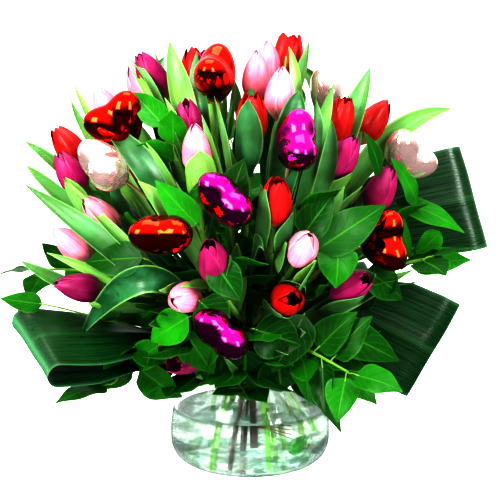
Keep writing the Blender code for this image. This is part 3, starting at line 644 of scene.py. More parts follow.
def bunch():
    """The planned stems and the room that heads and loops take, worked out once."""
    if not PLANNED:
        stems = plan()
        room = Room()
        for stem in stems[: len(TULIPS)]:
            steps = [i / 6 for i in range(7)]
            middle = [stem.base + stem.way * (BUD_LENGTH * u) for u in steps]
            room.add(middle, [BUD_ROOM * max(bud_share(u), 0.5) for u in steps])
        for stem in stems[len(TULIPS): len(TULIPS) + len(HEARTS)]:
            lobes = [stem.base + stem.way * (HEART_LENGTH * s) for s in (0.35, 0.75)]
            room.add(lobes, HEART_ROOM)
        for _, start, fold, wide, back in LOOPS:
            room.add(loop_cover(start, fold, wide, back), LOOP_ROOM)
        for height in np.linspace(0, VASE_HIGH.z, 8):
            turns = [math.tau * i / 40 for i in range(40)]
            side = VASE_HIGH.x - VASE_ROOM
            ring = [Vector((side * math.cos(a), side * math.sin(a), height)) for a in turns]
            room.add(ring, VASE_ROOM)
        PLANNED["stems"] = stems
        PLANNED["room"] = room
    return PLANNED["stems"], PLANNED["room"]


# --- Mesh tools -----------------------------------------------------------------------------
def new_mesh():
    bm = bmesh.new()
    bm.verts.layers.float_vector.new(PLACE)
    return bm


def finish_piece(name, bm, finish, nodes=(), smooth_angle=45):
    """Makes the object, smooth but for its sharp edges, and hides the pieces of the solid part that it
    stands for.
    """
    mesh = bpy.data.meshes.new(name)
    bm.to_mesh(mesh)
    bm.free()
    mesh.shade_smooth()
    mesh.set_sharp_from_angle(angle=math.radians(smooth_angle))
    mesh.materials.append(finish)
    made = bpy.data.objects.new(name, mesh)
    bpy.context.scene.collection.objects.link(made)
    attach(made, "root")
    if nodes:
        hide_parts(*nodes)
    return made


def sheet(bm, columns, rows, surface, thickness, tone):
    """A thin curved sheet: surface gives its point from -1 to 1 across and 0 to 1 along."""
    made = bmesh.ops.create_grid(bm, x_segments=columns, y_segments=rows, size=1)["verts"]
    layer = bm.verts.layers.float_vector[PLACE]
    for vert in made:
        across = vert.co.x
        along = (vert.co.y + 1) / 2
        vert[layer] = ((across + 1) / 2, along, tone)
        vert.co = surface(across, along)
    faces = list({face for vert in made for face in vert.link_faces})
    bmesh.ops.solidify(bm, geom=faces, thickness=thickness)


def tube(bm, points, radius, sides=8, tone=0.5, end_share=1.0):
    """A round rod along a path, closed at both ends and tapering to a share of its radius."""
    layer = bm.verts.layers.float_vector[PLACE]
    frames = framed(points)
    matrices = []
    for i, (point, side_way, up_way, ahead) in enumerate(frames):
        share = 1 + (end_share - 1) * i / (len(frames) - 1)
        columns = (side_way * share, up_way * share, ahead * share)
        matrices.append(Matrix.Translation(point) @ Matrix(columns).transposed().to_4x4())
    ring = bmesh.ops.create_circle(bm, segments=sides, radius=radius, matrix=matrices[0])["verts"]
    edges = list({edge for vert in ring for edge in vert.link_edges})
    faces = bmesh.ops.contextual_create(bm, geom=edges)["faces"]
    for vert in ring:
        vert[layer] = (0.5, 0, tone)
    for i in range(1, len(matrices)):
        made = bmesh.ops.extrude_edge_only(bm, edges=edges)["geom"]
        ring = [part for part in made if isinstance(part, bmesh.types.BMVert)]
        edges = [part for part in made if isinstance(part, bmesh.types.BMEdge)]
        edges = [edge for edge in edges if all(vert in ring for vert in edge.verts)]
        faces += [part for part in made if isinstance(part, bmesh.types.BMFace)]
        bmesh.ops.transform(bm, matrix=matrices[i] @ matrices[i - 1].inverted(), verts=ring)
        for number, vert in enumerate(ring):
            vert[layer] = (number / sides, i / (len(matrices) - 1), tone)
    faces += bmesh.ops.contextual_create(bm, geom=edges)["faces"]
    bmesh.ops.recalc_face_normals(bm, faces=faces)


def turned(name, profile, finish, nodes, top):
    """A body turned about Z from a profile of (radius, height) points, marked above top."""
    bm = new_mesh()
    verts = [bm.verts.new((radius, 0, height)) for radius, height in profile]
    edges = [bm.edges.new(pair) for pair in zip(verts, verts[1:])]
    bmesh.ops.spin(
        bm, geom=verts + edges, cent=(0, 0, 0), axis=(0, 0, 1),
        angle=math.tau, steps=96, use_merge=True,
    )
    bmesh.ops.remove_doubles(bm, verts=bm.verts, dist=1e-6)
    bmesh.ops.recalc_face_normals(bm, faces=bm.faces)
    layer = bm.verts.layers.float_vector[PLACE]
    for vert in bm.verts:
        # Points above top are marked to take a clear finish's painted top shade.
        vert[layer] = (0.5, 0.5, 1.0 if vert.co.z > top else 0.0)
    return finish_piece(name, bm, finish, nodes, 60)


def arc(centre, radius, start, end, steps):
    angles = [math.radians(start + (end - start) * i / steps) for i in range(steps + 1)]
    return [(centre[0] + radius * math.cos(a), centre[1] + radius * math.sin(a)) for a in angles]


# --- Shader tools ---------------------------------------------------------------------------
class Graph:
    """Adds shader nodes to a tree and joins them."""

    def __init__(self, tree):
        self.tree = tree

    def add(self, kind, inputs=(), **values):
        made = self.tree.nodes.new("ShaderNode" + kind)
        for name, value in values.items():
            setattr(made, name, value)
        for key, value in dict(inputs).items():
            if isinstance(value, bpy.types.NodeSocket):
                self.tree.links.new(value, made.inputs[key])
            else:
                made.inputs[key].default_value = value
        return made

    def math(self, operation, first, second=0.5):
        return self.add("Math", {0: first, 1: second}, operation=operation).outputs[0]

    def mix(self, share, low, high):
        made = self.add("Mix", {0: share, 6: low, 7: high}, data_type="RGBA")
        return made.outputs[2]

    def rise(self, value, start, end, low=0.0, high=1.0):
        """Low up to start, high from end on, and smooth between."""
        inputs = {"Value": value, 1: start, 2: end, 3: low, 4: high}
        return self.add("MapRange", inputs, interpolation_type="SMOOTHSTEP").outputs[0]

    def noise(self, vector, scale, detail=3.0, rough=0.55):
        inputs = {"Vector": vector, "Scale": scale, "Detail": detail, "Roughness": rough}
        return self.add("TexNoise", inputs).outputs["Fac"]

    def group(self, tree, inputs):
        made = self.add("Group")
        made.node_tree = tree
        for name, value in inputs.items():
            if isinstance(value, bpy.types.NodeSocket):
                self.tree.links.new(value, made.inputs[name])
            else:
                made.inputs[name].default_value = value
        return made.outputs


def effect(name, inputs, outputs, build):
    """A shader node group, made once: build joins its inputs to its outputs."""
    found = bpy.data.node_groups.get(name)
    if found:
        return found
    tree = bpy.data.node_groups.new(name, "ShaderNodeTree")
    for socket, kind, default in inputs:
        made = tree.interface.new_socket(socket, in_out="INPUT", socket_type="NodeSocket" + kind)
        if default is not None:
            made.default_value = default
    for socket, kind in outputs:
        tree.interface.new_socket(socket, in_out="OUTPUT", socket_type="NodeSocket" + kind)
    start = tree.nodes.new("NodeGroupInput")
    end = tree.nodes.new("NodeGroupOutput")
    for socket, value in build(Graph(tree), start.outputs).items():
        tree.links.new(value, end.inputs[socket])
    return tree


def streaks():
    """Fine lines that run along a petal, a leaf or a stem."""

    def build(graph, given):
        stretch = graph.add("CombineXYZ", {"X": given["Count"], "Y": given["Breaks"], "Z": 9.0})
        pair = {0: given["Place"], 1: stretch.outputs[0]}
        spread = graph.add("VectorMath", pair, operation="MULTIPLY")
        fine = graph.noise(spread.outputs[0], 1.0, 2.0)
        return {"Mask": graph.rise(fine, 0.35, 0.65), "Height": fine}

    inputs = (("Place", "Vector", None), ("Count", "Float", 30.0), ("Breaks", "Float", 1.5))
    return effect("Streaks", inputs, (("Mask", "Float"), ("Height", "Float")), build)


def edges_and_rib():
    """Masks for a leaf's edges, its midrib and its two ends."""

    def build(graph, given):
        parts = graph.add("SeparateXYZ", {0: given["Place"]}).outputs
        off = graph.math("MULTIPLY", graph.math("ABSOLUTE", graph.math("SUBTRACT", parts[0], 0.5)), 2.0)
        return {
            "Edge": graph.rise(off, 0.86, 1.0),
            "Rib": graph.rise(off, 0.02, 0.10, 1.0, 0.0),
            "Off": off,
            "Base": graph.rise(parts[1], 0.0, 0.30, 1.0, 0.0),
            "Tip": graph.rise(parts[1], 0.80, 1.0),
            "Tone": graph.rise(parts[2], 0.0, 1.0),
        }

    outputs = [(name, "Float") for name in ("Edge", "Rib", "Off", "Base", "Tip", "Tone")]
    return effect("Edges and rib", (("Place", "Vector", None),), outputs, build)


def feather_veins():
    """Side veins that leave the midrib at a slant."""

    def build(graph, given):
        parts = graph.add("SeparateXYZ", {0: given["Place"]}).outputs
        off = graph.math("ABSOLUTE", graph.math("SUBTRACT", parts[0], 0.5))
        wander = graph.math("MULTIPLY", graph.noise(given["Place"], 7.0), 0.5)
        run = graph.math("MULTIPLY", parts[1], given["Count"])
        slant = graph.math("SUBTRACT", run, graph.math("MULTIPLY", off, given["Slant"]))
        wave = graph.math("PINGPONG", graph.math("ADD", slant, wander), 0.5)
        line = graph.rise(wave, 0.0, 0.09, 1.0, 0.0)
        rib = graph.rise(off, 0.012, 0.045, 1.0, 0.0)
        mask = graph.math("MAXIMUM", graph.math("MULTIPLY", line, 0.55), rib)
        return {"Mask": mask, "Height": graph.math("SUBTRACT", 1.0, mask)}

    inputs = (("Place", "Vector", None), ("Count", "Float", 7.0), ("Slant", "Float", 5.0))
    return effect("Feather veins", inputs, (("Mask", "Float"), ("Height", "Float")), build)


def mottle():
    """Large soft patches and small specks over the object."""

    def build(graph, given):
        soft = graph.noise(given["Position"], given["Patches"], 3.0)
        fine = graph.noise(given["Position"], given["Specks"], 4.0, 0.7)
        return {"Patch": graph.rise(soft, 0.35, 0.68), "Speck": graph.rise(fine, 0.62, 0.72)}

    inputs = (("Position", "Vector", None), ("Patches", "Float", 40.0), ("Specks", "Float", 500.0))
    return effect("Mottle", inputs, (("Patch", "Float"), ("Speck", "Float")), build)


def new_finish(name):
    made = bpy.data.materials.new(name)
    made.use_nodes = True
    graph = Graph(made.node_tree)
    shader = made.node_tree.nodes["Principled BSDF"]
    place = graph.add("Attribute", attribute_name=PLACE).outputs["Vector"]
    position = graph.add("TexCoord").outputs["Object"]
    return made, graph, shader, place, position


def link(graph, value, shader, socket):
    graph.tree.links.new(value, shader.inputs[socket])


def add_bump(graph, shader, height, strength, distance):
    bump = graph.add("Bump", {"Height": height, "Strength": strength, "Distance": distance})
    link(graph, bump.outputs[0], shader, "Normal")


def scaled(rgb, share):
    return tuple(min(1.0, part * share) for part in rgb) + (1.0,)


def once(make):
    """A finish is made the first time that a piece asks for it."""
    made = {}

    def get():
        if "finish" not in made:
            made["finish"] = make()
        return made["finish"]

    return get


# --- Finishes -------------------------------------------------------------------------------
def petal_finish(name, main, deep, pale, edge_pale):
    """Velvety petals: streaked along, paler at the edges and green-white at the base."""
    made, graph, shader, place, position = new_finish(name)
    marks = graph.group(edges_and_rib(), {"Place": place})
    lines = graph.group(streaks(), {"Place": place, "Count": 34.0, "Breaks": 1.2})
    patches = graph.group(mottle(), {"Position": position, "Patches": 60.0})
    tone = graph.mix(marks["Tone"], scaled(main, 0.72), scaled(main, 1.12))
    body = graph.mix(graph.math("MULTIPLY", lines["Mask"], 0.35), tone, deep)
    rib = graph.math("MULTIPLY", marks["Rib"], 0.45)
    body = graph.mix(rib, body, deep)
    rim = graph.math("MULTIPLY", marks["Edge"], edge_pale)
    body = graph.mix(rim, body, pale)
    body = graph.mix(graph.math("MULTIPLY", patches["Patch"], 0.18), body, pale)
    body = graph.mix(graph.math("MULTIPLY", marks["Base"], 0.45), body, (0.55, 0.62, 0.28, 1))
    link(graph, body, shader, "Base Color")
    link(graph, graph.rise(lines["Mask"], 0.0, 1.0, 0.36, 0.52), shader, "Roughness")
    add_bump(graph, shader, lines["Height"], 0.25, 0.0006)
    shader.inputs["Specular IOR Level"].default_value = 0.3
    return made


@once
def red_petal():
    main = settings().colours.red
    return petal_finish("Red petal", main, (0.20, 0.0, 0.001, 1), (0.62, 0.012, 0.01, 1), 0.3)


@once
def pink_petal():
    main = settings().colours.pink
    return petal_finish("Pink petal", main, (0.66, 0.07, 0.15, 1), (0.95, 0.62, 0.68, 1), 0.75)


@once
def purple_petal():
    main = settings().colours.purple
    return petal_finish("Purple petal", main, (0.10, 0.0, 0.03, 1), (0.58, 0.06, 0.30, 1), 0.4)


@once
def lance_finish():
    """Tulip leaf: matt blue-green with parallel lines, pale edges and a waxy bloom."""
    made, graph, shader, place, position = new_finish("Tulip leaf")
    main = settings().colours.tulip_leaf
    marks = graph.group(edges_and_rib(), {"Place": place})
    lines = graph.group(streaks(), {"Place": place, "Count": 26.0, "Breaks": 1.0})
    patches = graph.group(mottle(), {"Position": position, "Patches": 45.0})
    tone = graph.mix(marks["Tone"], scaled(main, 0.5), (0.26, 0.50, 0.10, 1))
    body = graph.mix(graph.math("MULTIPLY", lines["Mask"], 0.28), tone, scaled(main, 0.6))
    bloom = graph.math("MULTIPLY", patches["Patch"], 0.30)
    body = graph.mix(bloom, body, (0.08, 0.36, 0.16, 1))
    body = graph.mix(graph.math("MULTIPLY", marks["Edge"], 0.45), body, (0.34, 0.60, 0.18, 1))
    link(graph, body, shader, "Base Color")
    link(graph, graph.rise(patches["Patch"], 0.0, 1.0, 0.38, 0.52), shader, "Roughness")
    add_bump(graph, shader, lines["Height"], 0.35, 0.0008)
    return made


@once
def ovate_finish():
    """Salal leaf: glossy green, raised between its veins, with a few brown specks."""
    made, graph, shader, place, position = new_finish("Salal leaf")
    main = settings().colours.salal
    marks = graph.group(edges_and_rib(), {"Place": place})
    veins = graph.group(feather_veins(), {"Place": place, "Count": 6.0, "Slant": 4.5})
    patches = graph.group(mottle(), {"Position": position, "Patches": 38.0, "Specks": 330.0})
    tone = graph.mix(marks["Tone"], scaled(main, 0.40), (0.016, 0.25, 0.003, 1))
    body = graph.mix(graph.math("MULTIPLY", patches["Patch"], 0.4), tone, scaled(main, 0.55))
    body = graph.mix(graph.math("MULTIPLY", veins["Mask"], 0.34), body, (0.09, 0.33, 0.03, 1))
    body = graph.mix(graph.math("MULTIPLY", marks["Edge"], 0.25), body, (0.08, 0.30, 0.03, 1))
    body = graph.mix(graph.math("MULTIPLY", patches["Speck"], 0.25), body, (0.16, 0.10, 0.02, 1))
    link(graph, body, shader, "Base Color")
    link(graph, graph.rise(patches["Patch"], 0.0, 1.0, 0.38, 0.50), shader, "Roughness")
    shader.inputs["Specular IOR Level"].default_value = 0.2
    add_bump(graph, shader, veins["Height"], 0.4, 0.0008)
    return made


@once
def strap_finish():
    """Aspidistra: deep green, ribbed with many fine parallel lines, painted lighter as sheen where they
    catch the light.
    """
    made, graph, shader, place, position = new_finish("Strap leaf")
    main = settings().colours.strap
    marks = graph.group(edges_and_rib(), {"Place": place})
    lines = graph.group(streaks(), {"Place": place, "Count": 95.0, "Breaks": 2.0})
    patches = graph.group(mottle(), {"Position": position, "Patches": 18.0})
    # Painted sheen: the fine lines are lighter, as where the ribs catch the light.
    rib_sheen = graph.math("MULTIPLY", lines["Mask"], 0.55)
    body = graph.mix(rib_sheen, scaled(main, 1.0), (0.008, 0.10, 0.02, 1))
    body = graph.mix(graph.math("MULTIPLY", patches["Patch"], 0.35), body, scaled(main, 0.45))
    body = graph.mix(graph.math("MULTIPLY", marks["Rib"], 0.12), body, (0.10, 0.30, 0.10, 1))
    # Painted sheen: the tone here holds a light band across the fold, and a lighter edge.
    body = graph.mix(graph.math("MULTIPLY", marks["Tone"], 0.75), body, (0.10, 0.30, 0.14, 1))
    link(graph, body, shader, "Base Color")
    link(graph, graph.rise(lines["Mask"], 0.0, 1.0, 0.26, 0.42), shader, "Roughness")
    add_bump(graph, shader, lines["Height"], 0.5, 0.0007)
    return made


def stalk_finish(name, main, deep, rings):
    """A stalk: streaked along its length, with dark specks whose strength rings sets."""
    made, graph, shader, place, position = new_finish(name)
    lines = graph.group(streaks(), {"Place": place, "Count": 12.0, "Breaks": 3.0})
    patches = graph.group(mottle(), {"Position": position, "Patches": 120.0, "Specks": 700.0})
    body = graph.mix(graph.math("MULTIPLY", lines["Mask"], 0.5), main, deep)
    body = graph.mix(graph.math("MULTIPLY", patches["Speck"], rings), body, scaled(deep[:3], 0.5))
    body = graph.mix(graph.math("MULTIPLY", patches["Patch"], 0.35), body, deep)
    link(graph, body, shader, "Base Color")
    link(graph, graph.rise(patches["Patch"], 0.0, 1.0, 0.42, 0.62), shader, "Roughness")
    add_bump(graph, shader, lines["Height"], 0.3 + rings * 0.5, 0.0006)
    return made


@once
def green_stalk():
    return stalk_finish("Green stalk", (0.30, 0.56, 0.12, 1), (0.10, 0.34, 0.05, 1), 0.1)


@once
def green_twig():
    return stalk_finish("Green twig", (0.17, 0.36, 0.03, 1), (0.07, 0.20, 0.02, 1), 0.7)


@once
def bark():
    return stalk_finish("Bark", (0.13, 0.085, 0.065, 1), (0.055, 0.035, 0.028, 1), 0.9)


@once
def pale_twig():
    return stalk_finish("Pale twig", (0.55, 0.50, 0.20, 1), (0.32, 0.33, 0.10, 1), 0.4)


@once
def red_twig():
    return stalk_finish("Red twig", (0.38, 0.14, 0.07, 1), (0.22, 0.06, 0.03, 1), 0.5)


@once
def stick_finish():
    return stalk_finish("Stick", (0.55, 0.38, 0.20, 1), (0.36, 0.22, 0.10, 1), 0.4)


@once
def raffia():
    return stalk_finish("Raffia", (0.62, 0.47, 0.24, 1), (0.40, 0.28, 0.12, 1), 0.3)


def foil_finish(name, main, roughness, dents, dent_scale, metal=1.0):
    """Mirror foil over a moulded heart, with dents of the given strength."""
    made, graph, shader, _, position = new_finish(name)
    cells = graph.add("TexVoronoi", {"Vector": position, "Scale": dent_scale}, feature="SMOOTH_F1")
    ripple = graph.noise(position, dent_scale * 0.5, 2.0)
    height = graph.math("ADD", graph.math("MULTIPLY", cells.outputs["Distance"], 1.0), ripple)
    worn = graph.noise(position, 160.0, 3.0)
    body = graph.mix(graph.rise(worn, 0.55, 0.75), scaled(main, 1.0), scaled(main, 0.86))
    link(graph, body, shader, "Base Color")
    link(graph, graph.rise(worn, 0.3, 0.8, roughness, roughness * 2.2), shader, "Roughness")
    shader.inputs["Metallic"].default_value = metal
    add_bump(graph, shader, height, dents, 0.004)
    return made


@once
def red_foil():
    return foil_finish("Red foil", settings().colours.foil_red, 0.035, 0.012, 60.0)


@once
def pale_foil():
    return foil_finish("Pale foil", settings().colours.foil_pink, 0.03, 0.012, 60.0, 0.8)


@once
def magenta_foil():
    return foil_finish("Magenta foil", settings().colours.foil_magenta, 0.06, 0.16, 120.0)


def clear_finish(name, tint, refraction, wave, top_painted_shade, low_tint, low_height, straight):
    """A clear body: faint waves, a painted shade tint on its top surface, and tinted smears below a
    height.

    The fourth part of low_tint dims the plain tint in patches, and straight is the share of
    light that passes without bending.
    """
    made, graph, shader, place, position = new_finish(name)
    shader.inputs["Transmission Weight"].default_value = 1.0
    shader.inputs["IOR"].default_value = refraction
    shader.inputs["Roughness"].default_value = 0.0
    height = graph.add("SeparateXYZ", {0: position}).outputs[2]
    flat = graph.add("VectorMath", {0: position, 1: (1, 1, 3)}, operation="MULTIPLY").outputs[0]
    patches = graph.rise(graph.noise(flat, 30.0, 2.0), 0.35, 0.55)
    smears = graph.rise(graph.noise(flat, 42.0, 4.0, 0.6), 0.46, 0.60)
    low = graph.math("MULTIPLY", smears, graph.rise(height, low_height * 0.3, low_height, 1.0, 0.0))
    body = graph.mix(patches, scaled(tint, low_tint[3]), scaled(tint, 1.0))
    body = graph.mix(low, body, scaled(low_tint[:3], 1.0))
    # Painted shade: faces marked as the top take the top tint. On the water this dark grey stands in
    # for the shade and reflections on its surface.
    top = graph.add("SeparateXYZ", {0: place}).outputs[2]
    link(graph, graph.mix(top, body, scaled(top_painted_shade, 1.0)), shader, "Base Color")
    add_bump(graph, shader, graph.noise(flat, 22.0, 1.0), wave, 0.002)
    rays = graph.add("LightPath").outputs
    passing = graph.math("MAXIMUM", rays["Is Shadow Ray"], rays["Is Diffuse Ray"])
    passing = graph.math("MAXIMUM", passing, straight)
    open_way = graph.add("BsdfTransparent", {"Color": scaled(tint, 1.0)})
    both = graph.add("MixShader", {0: passing, 1: shader.outputs[0], 2: open_way.outputs[0]})
    graph.tree.links.new(both.outputs[0], made.node_tree.nodes["Material Output"].inputs["Surface"])
    return made


@once
def glass():
    tint = settings().colours.glass
    return clear_finish("Glass", tint, 1.3, 0.05, tint, (0.16, 0.55, 0.50, 0.9), 0.010, 0.25)


@once
def water():
    tint = settings().colours.water
    # Painted shade: a dark grey for the water's top surface, in place of its shade and reflections.
    surface = (0.12, 0.15, 0.135)
    smear = (0.20, 0.31, 0.22, 0.55)
    return clear_finish("Water", tint, 1.2, 0.10, surface, smear, 0.050, 0.0)


FINISHES = {
    "red": red_petal, "pink": pink_petal, "purple": purple_petal,
    "foil_red": red_foil, "foil_silver_pink": pale_foil, "foil_magenta": magenta_foil,
    "twig_green": green_twig, "bark": bark, "stem_green": green_stalk, "twig_pale": pale_twig,
}


# --- Vase, water and tie --------------------------------------------------------------------
def shoulder_end(sizes, inset):
    centre = VASE_HIGH.x - sizes.shoulder
    return math.degrees(math.acos((sizes.mouth - inset - centre) / (sizes.shoulder - inset)))


def vase_side(sizes, inset, end, steps=14):
    heel_centre = (VASE_HIGH.x - sizes.heel, sizes.heel)
    shoulder_centre = (VASE_HIGH.x - sizes.shoulder, sizes.side_top)
    heel = arc(heel_centre, sizes.heel - inset, -90, 0, steps)
    return heel + arc(shoulder_centre, sizes.shoulder - inset, 0, end, steps)


def make_vase():
    """The bowl: a thick heel, a round shoulder and a melted rim."""
    sizes = settings().vase
    top = VASE_HIGH.z - sizes.rim
    outside = vase_side(sizes, 0, shoulder_end(sizes, 0))
    inside = vase_side(sizes, sizes.wall, shoulder_end(sizes, sizes.wall))
    rim = arc((sizes.mouth - sizes.wall / 2, top), sizes.wall / 2, 0, 180, 8)
    profile = [(0, 0)] + outside + rim + inside[::-1] + [(0, sizes.wall)]
    turned("vase_bowl", profile, glass(), ("vase",), VASE_HIGH.z + 1)


def make_water():
    """Water to its level, wetting the glass a little higher at the edge."""
    sizes = settings().vase
    overlap = 0.0003  # the water meets the glass with no film of air between
    level = WATER_HIGH.z
    side = vase_side(sizes, sizes.wall - overlap, shoulder_end(sizes, sizes.wall))
    kept = [point for point in side if point[1] < level + sizes.meniscus]
    reach = kept[-1][0]
    surface = []
    for i in range(7):
        inset = 0.006 * (i / 6)
        surface.append((reach - inset - 0.0004, level + sizes.meniscus * math.exp(-3.5 * i / 6)))
    profile = [(0, sizes.wall - overlap)] + kept + surface + [(0, level)]
    turned("vase_water", profile, water(), ("water",), level - 0.0002)


def make_tie(stems):
    """Raffia wound three times round the neck of the bunch."""
    bm = new_mesh()
    height = neck_centre().z - 0.003
    reach = max(stem.seat.length + stem.radius for stem in stems) + 0.0006
    points = []
    steps = RAFFIA_TURNS * RAFFIA_STEPS
    for i in range(steps + 1):
        a = math.tau * i / RAFFIA_STEPS
        rise = (i / steps - 0.5) * 0.003
        points.append(Vector((reach * math.cos(a), reach * math.sin(a), height + rise)))
    tube(bm, points, RAFFIA_RADIUS, 6)
    finish_piece("raffia_tie", bm, raffia(), ("binding_tie",))


# --- Petals and leaves ----------------------------------------------------------------------
def belly(v, start, end, widest=0.38):
    """Radius share of a cup: rises from start to 1 at its widest, and closes to end."""
    if v < widest:
        return start + (1 - start) * math.sin(math.pi / 2 * v / widest)
    return 1 - (1 - end) * ((v - widest) / (1 - widest)) ** 2.2


def pointed(v, start, widest=0.45, power=2.3):
    """Half-width share of a petal or leaf: broad at its widest, and drawn to a point."""
    if v < widest:
        return start + (1 - start) * math.sin(math.pi / 2 * v / widest)
    return max(0.03, 1 - ((v - widest) / (1 - widest)) ** power)


def rounded(v, start, widest=0.5, power=2.6):
    """Half-width share of a petal: broad at its widest, with a blunt round tip."""
    return max(0.04, pointed(v, start, widest, power)) ** 0.62


def cup_surface(base, axes, size, radius, turn, spread, form):
    """A petal or wrapping leaf that stands round an axis: form holds its shares."""
    first, second, way = axes

    def surface(u, v):
        width = form["shape"](v, form["foot"], form["widest"], form["point"])
        angle = turn + u * spread * width + form["twist"] * v
        reach = radius * belly(v, form["start"], form["end"])
        reach *= 1 - form["tuck"] * u * u + form["keel"] * math.exp(-((u / 0.2) ** 2))
        reach += form["ripple"] * radius * math.sin(7 * v + 5 * u + turn) * u * u
        out = first * math.cos(angle) + second * math.sin(angle)
        return base + way * (size * v) + out * reach

    return surface


def add_petals(bm, stem, openness, rng):
    """Three outer petals over three inner ones."""
    sizes = settings().flower
    side = stem.way.orthogonal().normalized()
    axes = (side, stem.way.cross(side), stem.way)
    start_turn = rng.uniform(0, math.tau)
    for i in range(6):
        outer = i % 2 == 0
        opening = openness * rng.uniform(0.7, 1.2)
        form = {
            "foot": 0.4, "widest": 0.46, "point": 2.8 if outer else 2.5, "start": 0.20,
            "shape": rounded, "end": 0.10 + 0.80 * opening * (1.0 if outer else 0.8),
            "twist": rng.uniform(-0.12, 0.12),
            "tuck": 0.10 if outer else 0.03, "keel": 0.05, "ripple": 0.02 + 0.03 * openness,
        }
        turn = start_turn + math.tau * i / 6 + rng.uniform(-0.08, 0.08)
        radius = sizes.bud_radius * (1.0 if outer else 0.86) * (1 + 0.12 * openness)
        size = sizes.bud_length * (rng.uniform(0.94, 1.0) if outer else rng.uniform(0.90, 0.99))
        surface = cup_surface(stem.base, axes, size, radius, turn, math.radians(66), form)
        sheet(bm, 10, 14, surface, sizes.petal, rng.random())


def add_wrap(bm, stem, turn, share, width, tone):
    """A leaf that clasps the flower's stem and cups round its bud."""
    sizes = settings()
    side = square_to(stem.way, Vector((0, -1, 0.35)))
    axes = (side, stem.way.cross(side), stem.way)
    size = WRAP_BELOW + sizes.flower.bud_length * share
    form = {
        "foot": 0.5, "widest": 0.5, "point": 2.4, "start": 0.18,
        "shape": pointed, "end": 1.0 if share < 0.8 else 0.85,
        "twist": 0.1, "tuck": 0.04, "keel": 0.05, "ripple": 0.05,
    }
    radius = sizes.flower.bud_radius * 1.2 + WRAP_LAYER * len(bm.verts)
    spread = math.radians(62) * width
    base = stem.base - stem.way * WRAP_BELOW
    surface = cup_surface(base, axes, size, radius, math.radians(turn), spread, form)
    sheet(bm, 8, 14, surface, sizes.foliage.leaf, tone)


def blade_surface(spine, face, half, outline, cup, wave, seed):
    """A leaf on a spine: face is the way its upper side looks, cup lifts its edges."""
    frames = framed(spine)
    last = len(spine) - 1
    sides = []
    for point, _, _, ahead in frames:
        up = square_to(ahead, face)
        sides.append((point, ahead.cross(up), up))

    def surface(u, v):
        point, across, up = sides[round(v * last)]
        wide = half * outline(v)
        lift = cup * wide * (u * u - 0.3) + wave * wide * u * u * math.sin(11 * v + seed + 2 * u)
        return point + across * (wide * u) + up * lift

    return surface


def ovate(v):
    """A broad round base, and a tip drawn to a point."""
    return max(0.03, (v ** 0.5) * (1 - v) ** 1.05 / 0.378) if v > 0 else 0.06


def lance(v):
    return pointed(v, 0.35, 0.52, 1.9)


def add_lance(bm, root, middle, tip, half, face, bow, tone, rows=20):
    """A long leaf that sheathes at its root, passes its middle and ends at its tip."""
    ahead = (tip - root).normalized()
    up = square_to(ahead, face)
    control = middle * 2 - (root + tip) / 2
    control = middle.lerp(control, 0.6) + up * bow
    thirds = (root, root.lerp(control, 2 / 3), tip.lerp(control, 2 / 3), tip)
    spine = bezier(thirds, rows)
    surface = blade_surface(spine, up, half, lance, 0.55, 0.10, tone * 9)
    sheet(bm, 8, rows, surface, settings().foliage.leaf, tone)


def add_ovate(bm, base, tip, half, face, tone, rng, rows=12):
    """A glossy leaf with its blade folded a little along the midrib and its tip turned down."""
    ahead = (tip - base).normalized()
    up = square_to(ahead, face)
    size = (tip - base).length
    control = (base + tip) / 2 + up * (size * rng.uniform(0.06, 0.16))
    thirds = (base, base.lerp(control, 2 / 3), tip.lerp(control, 2 / 3), tip)
    spine = bezier(thirds, rows)
    surface = blade_surface(spine, up, half, ovate, rng.uniform(-0.1, 0.35), 0.09, rng.uniform(0, 6))
    sheet(bm, 8, rows, surface, settings().foliage.leaf, tone)


# --- Tulips ---------------------------------------------------------------------------------
def make_tulip(index, row, stem, room, rng):
    """Petals, stem and leaves of one flower."""
    node = (stem.node,)
    petals = new_mesh()
    add_petals(petals, stem, row[5], rng)
    finish_piece(f"{stem.node}_flower", petals, FINISHES[row[0]](), node, 60)
    stalk = new_mesh()
    tube(stalk, stem.stalk() + [stem.base + stem.way * 0.002], TULIP_STEM, 8, rng.random())
    finish_piece(f"{stem.node}_stem", stalk, green_stalk(), node)
    leaves = new_mesh()
    for number, turn, share, width, tone in WRAPS:
        if number == index:
            add_wrap(leaves, stem, turn, share, width, tone)
    add_stem_leaves(leaves, stem, room, rng)
    finish_piece(f"{stem.node}_leaves", leaves, lance_finish(), node)


def add_stem_leaves(bm, stem, room, rng):
    """Leaves from low on the stem, each turned to where it stands clearest."""
    front = abs(stem.azimuth) < 100
    points = filled(stem.path(8))
    first = stem.way.orthogonal().normalized()
    second = stem.way.cross(first)
    for step in range(2):
        below = LEAF_ROOT + LEAF_ROOT_STEP * step
        root = min(points, key=lambda point: abs((point - stem.base).length - below))
        size = (FRONT_LEAF if front else BACK_LEAF) * rng.uniform(0.85, 1.05)
        best = None
        for i in range(14):
            turn = math.tau * (i + rng.random()) / 14
            out = first * math.cos(turn) + second * math.sin(turn)
            middle = root + stem.way * (size * 0.5) + out * (size * 0.22)
            tip = root + stem.way * (size * 0.96) + out * (size * 0.26)
            probes = [root.lerp(middle, 0.7), middle, middle.lerp(tip, 0.5), tip]
            free = room.clearance(probes)
            if best is None or free > best[0]:
                best = (free, middle, tip, out)
        free, middle, tip, out = best
        if free > LEAF_CLEAR and inside(tip):
            half = rng.uniform(0.009, 0.013)
            tone = rng.uniform(0.1, 0.7)
            add_lance(bm, root, middle, tip, half, -out, 0.004, tone, 16)
            room.add([middle, middle.lerp(tip, 0.5)], 0.005)


def by_side(rows, limit):
    """Rows of leaves in groups: tips more than limit degrees to the left or right, and the rest."""
    groups = {}
    for row in rows:
        azimuth = row[0][0]
        side = "left" if azimuth < -limit else "right" if azimuth > limit else "front"
        groups.setdefault(side, []).append(row)
    return groups.items()


